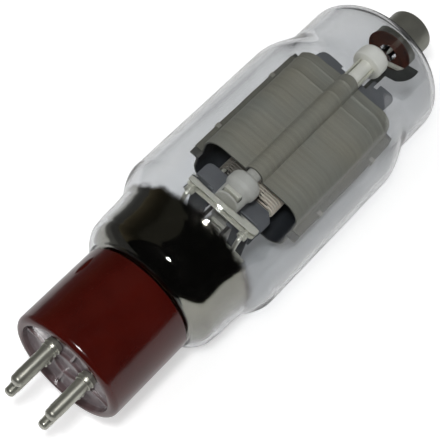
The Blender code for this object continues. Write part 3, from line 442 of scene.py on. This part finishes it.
def ceramic():
    """Matt white, with painted light that makes it brighter towards the cap."""
    look = Look("ceramic")
    grain = look.noise(3000, 4)
    tone = look.between(look.noise(120, 4), (0.53, 0.52, 0.46), (0.66, 0.65, 0.60))
    # painted light: brightens the ceramic towards the cap
    cap_side_light = look.step(look.axis("X"), 0.012, 40.0)
    tone = look.blend(1.0, tone, look.math("ADD", look.math("MULTIPLY", cap_side_light, 0.58), 0.80), "MULTIPLY")
    look.set(base_color=tone, roughness=look.between(grain, 0.42, 0.58))
    look.set(normal=look.bump(grain, 0.00003, 0.3))
    return look.block


def dark_plate(name, low, high):
    look = Look(name)
    grain = look.noise(2500, 4)
    tone = look.between(look.noise(150, 4), low, high)
    look.set(base_color=tone, metallic=0.3, roughness=look.between(grain, 0.45, 0.62))
    look.set(normal=look.bump(grain, 0.00003, 0.4))
    return look.block


def cement(name, dark, pale):
    look = Look(name)
    grain = look.noise(1400, 6, 0.65)
    look.set(base_color=look.between(look.noise(420, 5, 0.6), dark, pale))
    look.set(roughness=look.between(grain, 0.5, 0.85))
    look.set(normal=look.bump(grain, 0.00015, 0.5))
    return look.block


LOOKS = {
    "phenolic": phenolic(),
    "glass": glass(),
    "pin_metal": metal("pin_metal", (0.46, 0.46, 0.40), 0.36, 1.0, (400, 3500, 3500), 0.85),
    "nickel": metal("nickel", (0.88, 0.87, 0.76), 0.42, 1800, share=0.5),
    "anode_grey": anode_grey(),
    "ceramic": ceramic(),
    "dark_plate": dark_plate("dark_plate", (0.150, 0.157, 0.168), (0.190, 0.197, 0.208)),
    "tungsten": metal("tungsten", (0.24, 0.23, 0.22), 0.42, 1500),
    "gold_wire": grid_wire(),
    "cement": cement("cement", (0.24, 0.17, 0.11), (0.36, 0.27, 0.19)),
    "cap_cement": cement("cap_cement", (0.020, 0.005, 0.002), (0.140, 0.030, 0.010)),
}
FILM = getter_film()
CLIP = metal("clip_metal", (0.40, 0.39, 0.34), 0.5, 1800, share=0.4)
STRAP = dark_plate("strap_plate", (0.043, 0.045, 0.042), (0.054, 0.056, 0.052))
CAP = metal("cap_metal", (0.30, 0.30, 0.26), 0.42, 1.0, (400, 2500, 2500), 0.7)


def as_object(bm, name, place=Matrix()):
    """Turn a bmesh into a linked object, with its faces outwards."""
    bmesh.ops.recalc_face_normals(bm, faces=bm.faces)
    bm.transform(place)
    mesh = bpy.data.meshes.new(name)
    bm.to_mesh(mesh)
    bm.free()
    obj = bpy.data.objects.new(name, mesh)
    bpy.context.collection.objects.link(obj)
    return obj


def shade(mesh, crease=CREASE):
    mesh.shade_smooth()
    mesh.set_sharp_from_angle(angle=math.radians(crease))


def finish(bm, name, slot, replaced=(), place=TUBE, crease=CREASE, look=None):
    """Turn a bmesh in the tube's frame into a smooth-shaded piece that rides on the tube."""
    bmesh.ops.remove_doubles(bm, verts=bm.verts, dist=1e-5)
    obj = as_object(bm, name, place)
    shade(obj.data, crease)
    obj.data.materials.append(look or LOOKS[slot])
    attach(obj, "root")
    if replaced:
        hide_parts(*replaced)
    return obj


def arc(centre, radius, start, end, steps, stretch=1.0):
    """Points of an arc in degrees; stretch scales its second half-axis."""
    points = []
    for i in range(steps + 1):
        a = math.radians(start + (end - start) * i / steps)
        points.append((centre[0] + radius * math.cos(a), centre[1] + radius * stretch * math.sin(a)))
    return points


def mirrored(points):
    return [(-u, v) for u, v in reversed(points)]


def s_curve(low, high, steps):
    """Points (r, z) that swing smoothly from one radius to another."""
    points = []
    for i in range(steps + 1):
        share = i / steps
        swing = (1 - math.cos(math.pi * share)) / 2
        points.append((low[0] + (high[0] - low[0]) * swing, low[1] + (high[1] - low[1]) * share))
    return points


def turned_mesh(profile, facets, centre=(0.0, 0.0)):
    """Spin a closed (r, z) profile about a line parallel to Z."""
    bm = bmesh.new()
    verts = [bm.verts.new((r, 0.0, z)) for r, z in profile]
    edges = []
    for first, second in zip(verts, verts[1:] + verts[:1]):
        if first.co.x > 1e-6 or second.co.x > 1e-6:
            edges.append(bm.edges.new((first, second)))
    bmesh.ops.spin(bm, geom=verts + edges, axis=(0, 0, 1), cent=(0, 0, 0), steps=facets,
                   angle=math.tau, use_merge=True)
    bmesh.ops.translate(bm, verts=bm.verts, vec=(centre[0], centre[1], 0.0))
    return bm


def turned(name, profile, slot, replaced=(), centre=(0.0, 0.0), facets=96, place=TUBE, crease=CREASE):
    return finish(turned_mesh(profile, facets, centre), name, slot, replaced, place, crease)


def lofted(name, rings, slot, replaced=(), look=None):
    """Skin a row of point rings that all have the same number of points, ends closed."""
    bm = bmesh.new()
    rows = [[bm.verts.new(p) for p in ring] for ring in rings]
    skin_rows(bm, rows)
    bm.faces.new(rows[0])
    bm.faces.new(rows[-1])
    return finish(bm, name, slot, replaced, look=look)


def skin_rows(bm, rows):
    for low, high in zip(rows, rows[1:]):
        for i, vert in enumerate(low):
            j = (i + 1) % len(low)
            bm.faces.new((vert, low[j], high[j], high[i]))


def block_mesh(low, high):
    bm = bmesh.new()
    bmesh.ops.create_cube(bm, size=1.0)
    size = Vector(high) - Vector(low)
    middle = (Vector(high) + Vector(low)) / 2
    bm.transform(Matrix.Translation(middle) @ Matrix.Diagonal((*size, 1.0)))
    return bm


def applied(obj):
    """Mesh of an object with its modifiers in it."""
    return bpy.data.meshes.new_from_object(obj.evaluated_get(bpy.context.evaluated_depsgraph_get()))


def combine(obj, tools, operation):
    """Join the tools to the object or cut them out of it, and delete them."""
    for other in tools:
        cut = obj.modifiers.new(other.name, "BOOLEAN")
        cut.operation = operation
        cut.solver = "EXACT"
        cut.object = other
    mesh = applied(obj)
    obj.modifiers.clear()
    obj.data = mesh
    shade(mesh)
    for other in tools:
        bpy.data.objects.remove(other, do_unlink=True)


def soften(obj, width, angle):
    """Bevel the edges sharper than an angle in degrees."""
    edge = obj.modifiers.new("soft_edges", "BEVEL")
    edge.width = width * MM
    edge.segments = 2
    edge.limit_method = "ANGLE"
    edge.angle_limit = math.radians(angle)


def base_profile():
    rim_in = BASE_R - RIM_WALL
    profile = [(0.0, RECESS), (rim_in, RECESS)]
    profile += arc((rim_in + RIM_ROUND, RIM_ROUND), RIM_ROUND, 180, 270, 6)
    profile += arc((BASE_R - FOOT_ROUND, FOOT_ROUND), FOOT_ROUND, 270, 360, 14)
    profile += arc((BASE_R - RIM_ROUND, BASE_H - RIM_ROUND), RIM_ROUND, 0, 90, 6)
    profile += [(BASE_R - BASE_WALL, BASE_H), (BASE_R - BASE_WALL, FLOOR_TOP), (0.0, FLOOR_TOP)]
    return profile


def make_base():
    """Shell with its hub ring, ribs, lug and pin bores."""
    shell = turned("base_skin", base_profile(), "phenolic", ("base_shell",), facets=144, place=BASE)
    foot = RECESS - RIB_H
    inner = HUB_R - HUB_WALL
    hub = [(inner, foot + HUB_EDGE), (inner + HUB_EDGE, foot), (HUB_R - HUB_EDGE, foot)]
    hub += [(HUB_R, foot + HUB_EDGE), (HUB_R, RECESS + SUNK), (inner, RECESS + SUNK)]
    tools = [as_object(turned_mesh(hub, 61), "hub", BASE)]
    for i in range(4):
        low = (HUB_R - HUB_WALL / 2, -RIB_W / 2, foot + RIB_DROP)
        high = (BASE_R - RIM_WALL / 2, RIB_W / 2, RECESS + SUNK - RIB_DROP)
        turn = Matrix.Rotation(math.tau * i / 4, 4, "Z")
        tools.append(as_object(block_mesh(low, high), f"rib_{i}", BASE @ turn))
    tools.append(make_lug())
    combine(shell, tools, "UNION")
    bores = []
    for name, x, y, radius in pin_places():
        bore_r = radius * PIN_SHANK_SHARE + GAP
        bore = [(0.0, RECESS - SUNK), (bore_r, RECESS - SUNK)]
        bore += [(bore_r, FLOOR_TOP + SUNK), (0.0, FLOOR_TOP + SUNK)]
        bores.append(as_object(turned_mesh(bore, 40, (x, y)), f"bore_{name}", BASE))
    combine(shell, bores, "DIFFERENCE")


def make_lug():
    """Low oval bump on the shell's side."""
    profile = [(0.0, -SUNK), (LUG_WIDTH / 2, -SUNK)]
    for i in range(LUG_STEPS + 1):
        share = 1 - i / LUG_STEPS
        profile.append((LUG_WIDTH / 2 * share, LUG_SEEN * (1 - share ** 2.5)))
    angle = math.radians(LUG_ANGLE)
    up = Vector((0.0, 0.0, 1.0))
    outward = Vector((math.cos(angle), -math.sin(angle), 0.0))
    turn = Matrix((up, outward.cross(up), outward)).transposed().to_4x4()
    place = Matrix.Translation(outward * BASE_R + up * LUG_Z) @ turn
    stretch = Matrix.Scale(LUG_LENGTH / LUG_WIDTH, 4, (1, 0, 0))
    return as_object(turned_mesh(profile, 40), "lug", BASE @ place @ stretch)


def pin_places():
    """Name, x, y and radius of each pin."""
    half = PIN_PITCH / 2
    front = math.sqrt(PIN_CIRCLE_R ** 2 - half ** 2)
    return (
        ("filament_pin_left", -half, -front, THICK_PIN_R),
        ("filament_pin_right", half, -front, THICK_PIN_R),
        ("grid_pin", -half, front, THIN_PIN_R),
        ("spare_pin", half, front, THIN_PIN_R),
    )


def pin_profile(radius):
    """Solder dome, plain body, roll, collar, shank and the head on the shell's floor."""
    collar = radius + PIN_COLLAR
    shank = radius * PIN_SHANK_SHARE
    head = radius + PIN_HEAD_OUT
    head_foot = FLOOR_TOP + GAP
    dome = radius * 0.62
    profile = [(0.0, -PIN_REACH)] + arc((radius * 0.94 - dome, dome - PIN_REACH), dome, -90, 0, 10)
    profile += [(radius * 0.95, PIN_TIP_H - PIN_TIP_EDGE - PIN_REACH), (radius, PIN_TIP_H - PIN_REACH)]
    profile += [(radius, -1.15)] + arc((radius + 0.22, PIN_ROLL_Z), PIN_ROLL_R, 225, 450, 8)
    profile += arc((collar - PIN_COLLAR_R - 0.02, PIN_COLLAR_Z), PIN_COLLAR_R, -80, 80, 8)
    profile += [(collar - 0.35, RECESS - GAP), (shank, RECESS - GAP), (shank, head_foot), (head, head_foot)]
    profile += [(head, head_foot + PIN_HEAD_H), (0.0, head_foot + PIN_HEAD_H)]
    return profile


def make_pins():
    for name, x, y, radius in pin_places():
        turned(f"{name}_skin", pin_profile(radius), "pin_metal", (name,), (x, y), 48, BASE)


def moved_left(points, distance):
    """An open (r, z) side moved to the left of its direction, end points level."""
    moved = []
    for i, (r, z) in enumerate(points):
        before = points[max(i - 1, 0)]
        after = points[min(i + 1, len(points) - 1)]
        along = Vector((after[0] - before[0], after[1] - before[1])).normalized()
        moved.append((r - along.y * distance, z + along.x * distance))
    return moved


def bulge_side():
    """Outer side from the neck's foot out over the rim of the base and up into the lower step."""
    side = [(NECK_R, NECK_FOOT)] + [(NECK_R + out, SEAT + up) for out, up in NECK_TURN]
    for i in range(SIDE_STEPS + 1):
        share = i / SIDE_STEPS
        swing = 1 - (1 - share) ** 2
        side.append((BULGE_FOOT_R + (LOW_R - BULGE_FOOT_R) * swing, BULGE_FOOT + BULGE_H * share))
    return side


def lower_step(inset):
    """Side of the lower step, which widens a little upwards, most near its two ends."""
    foot = BULGE_FOOT + BULGE_H
    points = []
    for i in range(1, SIDE_STEPS):
        share = i / SIDE_STEPS
        swing = 0.4 * share + 0.6 * (0.5 + 4 * (share - 0.5) ** 3)
        points.append((LOW_R + (LOW_TOP_R - LOW_R) * swing - inset, foot + (LOW_TOP - foot) * share))
    return points


def bulb_side(inset, hole_r):
    """One side of the bulb's wall, from the neck's foot to the hole at the pole."""
    main = MAIN_R - inset
    up = UP_R - inset
    side = moved_left(bulge_side(), inset) + lower_step(inset)
    side += s_curve((LOW_TOP_R - inset, LOW_TOP), (main, MAIN_FOOT), SIDE_STEPS)
    side += s_curve((main, MAIN_TOP), (up, UP_FOOT), SIDE_STEPS)
    last = math.degrees(math.acos(hole_r / up))
    side += arc((0.0, DOME_FOOT), up, 0, last, SIDE_STEPS + 8, (DOME_H - inset) / up)
    return [(r * ROUND_SHARE, z) for r, z in side]


def film_side(inset):
    """The part of the bulb's side that the film covers."""
    return [(r, z) for r, z in bulb_side(inset, BEAD_R) if BASE_H < z < FILM_TOP]


def make_bulb():
    """Glass with its bead at the pole, and the getter film inside it."""
    bead_low = DOME_TOP - GLASS_T - BEAD_DROP
    profile = bulb_side(0.0, LEAD_HOLE_R)
    profile += [(LEAD_HOLE_R, bead_low), (BEAD_R * 0.8, bead_low + BEAD_EDGE)]
    profile += bulb_side(GLASS_T, BEAD_R)[::-1]
    turned("bulb", profile, "glass", ("glass_envelope",), facets=BULB_SPIN, crease=GLASS_CREASE)
    inset = GLASS_T + FILM_CLEAR
    film = film_side(inset) + film_side(inset + FILM_T)[::-1]
    finish(turned_mesh(film, BULB_SPIN), "getter_film", "nickel", crease=GLASS_CREASE, look=FILM)


def make_cap():
    """Cement that follows the dome and plugs the cap, and the cap's skirt and round top."""
    dome = [(r, DOME_FOOT + DOME_H * math.sqrt(1 - (r / UP_R) ** 2) + GAP)
            for r in (LEAD_HOLE_R, 2.5, 4.0, 5.5, CEMENT_LIP_R)]
    top = dome[-1][1] + CEMENT_LIP_H
    inner = CAP_R - CAP_WALL
    plug = [(CEMENT_LIP_R - CEMENT_BEVEL, top), (inner - GAP, top)]
    plug += [(inner - GAP, DOME_TOP + PLUG_H), (LEAD_HOLE_R, DOME_TOP + PLUG_H)]
    turned("cap_cement_skin", dome + plug, "cap_cement", ("cap_cement",))
    skirt = top + GAP
    profile = [(inner, skirt)] + arc((CAP_R - CAP_EDGE, skirt + CAP_EDGE), CAP_EDGE, -90, 0, 4)
    profile += arc((CAP_R - CAP_ROUND, CAP_TOP - CAP_ROUND), CAP_ROUND, 0, 90, 10)
    profile += [(0.0, CAP_TOP), (0.0, CAP_TOP - CAP_WALL), (inner, CAP_TOP - CAP_WALL)]
    finish(turned_mesh(profile, 96), "cap_skin", "pin_metal", ("top_cap",), look=CAP)


def lower_insulator_profile():
    """Waisted post that stands in a crossbar, with its spigot in the anode."""
    foot = BAR_TOP + GAP
    top = ANODE_FOOT + SPIGOT_IN
    profile = [(0.0, foot)] + arc((WAIST_R - WAIST_EDGE, foot + WAIST_EDGE), WAIST_EDGE, -90, 0, 4)
    profile += [(WAIST_R, foot + WAIST_H)]
    profile += s_curve((WAIST_R, foot + SWELL_FOOT), (BODY_R, foot + SWELL_TOP), 8)
    profile += arc((BODY_R - SHOULDER_ROUND, SHOULDER - SHOULDER_ROUND), SHOULDER_ROUND, 0, 90, 10)
    profile += [(SPIGOT_R, SHOULDER)]
    profile += arc((SPIGOT_R - SPIGOT_ROUND, top - SPIGOT_ROUND), SPIGOT_ROUND, 0, 90, 5)
    return profile + [(0.0, top)]


def upper_insulator_profile():
    """Long spigot with a round head."""
    start = ANODE_TOP - SPIGOT_IN
    profile = [(0.0, start), (SPIGOT_R - SPIGOT_EDGE, start), (SPIGOT_R, start + SPIGOT_EDGE)]
    profile += [(SPIGOT_R, HEAD_FOOT)]
    profile += arc((BODY_R - HEAD_EDGE, HEAD_FOOT + HEAD_EDGE), HEAD_EDGE, -90, 0, 5)
    profile += arc((BODY_R - HEAD_ROUND, HEAD_TOP - HEAD_ROUND), HEAD_ROUND, 0, 90, 10)
    return profile + [(0.0, HEAD_TOP)]


def make_insulators():
    middle = BAR_TOP + KEY_RISE
    for label, side in (("front", -1), ("rear", 1)):
        y = side * ANODE_HALF_D
        name = f"lower_insulator_{label}"
        body = turned(f"{name}_skin", lower_insulator_profile(), "ceramic", (name,), (0.0, y), 72)
        low = (-KEY_SLOT_HALF_W, y - KEY_SLOT_REACH, middle - KEY_SLOT_HALF_H)
        high = (KEY_SLOT_HALF_W, y + KEY_SLOT_REACH, middle + KEY_SLOT_HALF_H)
        combine(body, [as_object(block_mesh(low, high), "key_slot", TUBE)], "DIFFERENCE")
        name = f"upper_insulator_{label}"
        turned(f"{name}_skin", upper_insulator_profile(), "ceramic", (name,), (0.0, y), 72)


def anode_section(rise):
    """Closed (x, y) section of the front half; rise moves the pressed ridges outwards."""
    lip = GAP / 2
    half_d = ANODE_HALF_D + rise
    body = ANODE_HALF_W + rise
    turn = (ANODE_HALF_W - CORNER_R, CORNER_R - ANODE_HALF_D)
    channel_in = SPIGOT_R + GAP
    flange = ANODE_HALF_W + FLANGE_W
    flange_out = -lip - ANODE_T
    right_out = [(flange, flange_out)]
    right_out += arc((body + FLANGE_FILLET, flange_out - FLANGE_FILLET), FLANGE_FILLET, 90, 180, 4)
    right_out += arc(turn, CORNER_R + rise, 0, -90, 12)
    right_in = [(flange, -lip), (body - ANODE_T, -lip)]
    right_in += arc(turn, CORNER_R - ANODE_T + rise, 0, -90, 12)
    right_in += [(channel_in, -half_d + ANODE_T)]
    outer = right_out + arc((0.0, -half_d), channel_in + ANODE_T, 0, -180, 20) + mirrored(right_out)
    inner = right_in + arc((0.0, -half_d), channel_in, 0, -180, 20) + mirrored(right_in)
    return outer + inner[::-1]


def make_anode():
    """Front and rear halves, pressed outwards in two ridges."""
    ridges = []
    for share in RIDGE_SHARES:
        middle = ANODE_FOOT + share * ANODE_H
        ridges += [(middle + up, rise) for up, rise in RIDGE_SECTION]
    for label, side, extra in (("front", 1, 0.0), ("rear", -1, REAR_EXTRA)):
        levels = [(ANODE_FOOT - extra, 0.0)] + ridges + [(ANODE_TOP + extra, 0.0)]
        rings = [[(x, side * y, z) for x, y in anode_section(rise)] for z, rise in levels]
        shell = lofted(f"anode_{label}_skin", rings, "anode_grey", (f"anode_{label}",))
        soften(shell, ANODE_EDGE, 60)


def make_clips():
    """Small folded strips on the flanges."""
    inner = GAP / 2 + ANODE_T + CLIP_CLEAR
    outer = inner + CLIP_T
    edge = ANODE_HALF_W + FLANGE_W + CLIP_CLEAR
    root = edge - CLIP_GRIP
    fold = edge + CLIP_T
    outline = [(root, -outer), (fold, -outer), (fold, outer), (root, outer)]
    outline += [(root, inner), (edge, inner), (edge, -inner), (root, -inner)]
    for label, side in (("left", -1), ("right", 1)):
        for place, share in CLIP_SHARES:
            middle = ANODE_FOOT + share * ANODE_H
            ends = (middle - CLIP_HALF_H, middle + CLIP_HALF_H)
            rings = [[(side * u, v, z) for u, v in outline] for z in ends]
            name = f"flange_clip_{place}_{label}"
            clip = lofted(f"{name}_skin", rings, "nickel", (name,), CLIP)
            soften(clip, EDGE_W, 60)


def winding_path():
    """Points of the flattened helix, in the world."""
    centre = GRID_ROD_X + GRID_ROD_R + WIRE_OUT - GRID_HALF_D
    loop = arc((centre, 0.0), GRID_HALF_D, -90, 90, 10) + arc((-centre, 0.0), GRID_HALF_D, 90, 270, 10)
    path = []
    for turn in range(int(WINDING_H / WIRE_PITCH)):
        for i, (x, y) in enumerate(loop):
            path.append(TUBE @ Vector((x, y, WINDING_FOOT + WIRE_PITCH * (turn + i / len(loop)))))
    return path


def make_winding():
    """Fine wire round the two grid rods."""
    curve = bpy.data.curves.new("winding_path", "CURVE")
    curve.dimensions = "3D"
    curve.bevel_depth = WIRE_R * MM
    curve.bevel_resolution = 2
    curve.use_fill_caps = True
    path = winding_path()
    spline = curve.splines.new("POLY")
    spline.points.add(len(path) - 1)
    for point, place in zip(spline.points, path):
        point.co = (*place, 1.0)
    guide = bpy.data.objects.new("winding_path", curve)
    bpy.context.collection.objects.link(guide)
    bm = bmesh.new()
    bm.from_mesh(applied(guide))
    bpy.data.objects.remove(guide, do_unlink=True)
    finish(bm, "grid_winding_skin", "gold_wire", ("grid_winding",), place=Matrix())


def dress_nodes():
    """Looks and smooth shading for the solids that stay."""
    for row in frame["record"]["subparts"]:
        node = row["node"]
        obj = bpy.data.objects[node]
        if obj.hide_render:
            continue
        obj.data.materials.clear()
        obj.data.materials.append(STRAP if node == "anode_strap" else LOOKS[row["material_slot"]])
        weld = obj.modifiers.new("weld", "WELD")
        weld.merge_threshold = 1e-6
        soften(obj, EDGE_W, CREASE)
        smooth = obj.modifiers.new("weighted", "WEIGHTED_NORMAL")
        smooth.keep_sharp = True
        obj.data.shade_smooth()


def make_camera():
    e = math.radians(VIEW_ELEVATION)
    a = math.radians(VIEW_AZIMUTH)
    forward = Vector((math.cos(e) * math.cos(a), math.cos(e) * math.sin(a), -math.sin(e)))
    right = Vector((math.sin(a), -math.cos(a), 0.0))
    up = right.cross(forward)
    data = bpy.data.cameras.new("photo_view")
    data.sensor_width = SENSOR
    data.lens = SENSOR * VIEW_F / VIEW_PIXELS
    data.clip_start = 0.01
    data.clip_end = 20.0
    camera = bpy.data.objects.new("photo_view", data)
    camera.matrix_world = Matrix((right, up, -forward)).transposed().to_4x4()
    offset = right * VIEW_OFFSET.x + up * VIEW_OFFSET.y + forward * VIEW_OFFSET.z
    camera.location = (VIEW_POINT - offset) * MM
    bpy.context.collection.objects.link(camera)
    bpy.context.scene.camera = camera


def mirrored_rays(look):
    """1 for rays off a mirror-like face, 0 for those straight through the glass."""
    path = look.node("LightPath")
    turned_back = look.math("GREATER_THAN", path.outputs["Glossy Depth"], 0.5)
    return look.math("MULTIPLY", path.outputs["Is Glossy Ray"], turned_back)


def far_floor(look):
    """0 on the lit sheet round the tube, 1 past its uneven edge."""
    x = look.math("DIVIDE", look.math("SUBTRACT", look.axis("X"), SHEET_X), SHEET_HALF_L)
    y = look.math("DIVIDE", look.math("SUBTRACT", look.axis("Y"), SHEET_Y), SHEET_HALF_W)
    square = look.math("ADD", look.math("MULTIPLY", x, x), look.math("MULTIPLY", y, y))
    uneven = look.math("MULTIPLY", look.math("SUBTRACT", look.noise(14, 2), 0.5), 0.5)
    reach = look.math("ADD", look.math("SQRT", square), uneven)
    return look.step(reach, 0.92, 6.0)


def under_dome(look):
    """1 under the dome, which would shine in the dome's inside and veil the cap's cement."""
    aside = look.math("ABSOLUTE", look.math("SUBTRACT", look.axis("Y"), DOME_PATCH_Y))
    near = look.step(aside, DOME_PATCH_HALF_W, -100.0)
    return look.math("MULTIPLY", look.step(look.axis("X"), DOME_PATCH_X, 100.0), near)


def lit_beside(look):
    """Lift of the floor seen through the glass: less on the near side, more on the far side."""
    share = look.step(look.axis("Y"), -0.10, 4.0)
    stops = ((0.0, 0.20), (0.24, 0.14), (0.36, 0.05), (0.58, 0.35), (0.77, 0.30), (1.0, 0.30))
    return look.ramp(share, stops)


def floor_look():
    """Pale floor, lifted for the view and for the glass, that mirror-like faces see dark far off."""
    look = Look("floor")
    mirror = mirrored_rays(look)
    dark = look.math("MULTIPLY", look.math("MAXIMUM", far_floor(look), under_dome(look)), mirror)
    pale = look.between(look.noise(4, 2), 0.80, 0.82)
    dim = look.between(look.math("ADD", look.axis("Y"), 0.5, clamp=True), 0.02, 0.20, 0.45, 0.62)
    look.set(base_color=look.blend(dark, pale, dim), roughness=0.9)
    look.set(specular_ior_level=0.0, emission_color=(1.0, 1.0, 1.0))
    path = look.node("LightPath")
    lift = look.math("MULTIPLY", path.outputs["Is Camera Ray"], FLOOR_LIFT)
    sheen = look.math("MULTIPLY", look.math("SUBTRACT", mirror, dark), FLOOR_SHEEN)
    straight = look.math("SUBTRACT", 1.0, mirror)
    through = look.math("MULTIPLY", path.outputs["Is Transmission Ray"], straight)
    through = look.math("MULTIPLY", through, lit_beside(look))
    look.set(emission_strength=look.math("ADD", look.math("ADD", lift, sheen), through))
    return look.block


def make_stage():
    """Pale floor that turns up into a low backdrop all round."""
    bm = bmesh.new()
    steps = 64
    rows = []
    for radius, z in STAGE_RINGS:
        ring = [(radius * math.cos(math.tau * i / steps), radius * math.sin(math.tau * i / steps), z)
                for i in range(steps)]
        rows.append([bm.verts.new(p) for p in ring])
    bm.faces.new(rows[0])
    skin_rows(bm, rows)
    floor = as_object(bm, "floor")
    floor.data.shade_smooth()
    floor.data.materials.append(floor_look())


def add_lamp(name, place, size, power, shows=True):
    """Round area lamp that looks at the tube; shows says whether metal and glass see it."""
    data = bpy.data.lights.new(name, "AREA")
    data.shape = "DISK"
    data.size = size
    data.energy = power
    lamp = bpy.data.objects.new(name, data)
    lamp.location = place
    lamp.rotation_euler = (LAMP_TARGET - Vector(place)).to_track_quat("-Z", "Y").to_euler()
    lamp.visible_glossy = shows
    lamp.visible_transmission = shows
    bpy.context.collection.objects.link(lamp)


def make_world():
    """Even light for matt surfaces; metal and glass see a dark ceiling and a dim room on the far side."""
    look = Look("studio", world=True)
    slant = look.math("ADD", look.axis("Y"), look.math("MULTIPLY", look.axis("X"), ROOM_SLANT))
    room = look.ramp(look.axis("Z"), (
        (0.04, (0.17, 0.155, 0.11)), (0.32, (0.065, 0.055, 0.037)), (0.54, (0.026, 0.023, 0.016)),
        (0.70, (0.018, 0.017, 0.013)), (0.80, (0.036, 0.035, 0.029)), (0.92, (0.036, 0.035, 0.029))))
    seen = look.blend(look.step(slant, ROOM_EDGE, 16.0), (CEILING_LEVEL,) * 3, room)
    through = look.blend(look.node("LightPath").outputs["Is Transmission Ray"],
                         (WORLD_LEVEL,) * 3, (THROUGH_LEVEL,) * 3)
    look.set(color=look.blend(mirrored_rays(look), through, seen), strength=1.0)
    bpy.context.scene.world = look.block


make_base()
make_pins()
make_bulb()
make_cap()
make_insulators()
make_anode()
make_clips()
make_winding()
dress_nodes()

make_camera()
make_stage()
make_world()
add_lamp("key", (-0.178, -0.114, 0.425), 0.06, 1.0)
add_lamp("soft", (-0.55, 0.35, 0.75), 0.6, 2.0, False)
add_lamp("near", (0.05, -0.60, 0.10), 0.4, 0.65, False)
bpy.context.scene.view_settings.view_transform = "Standard"
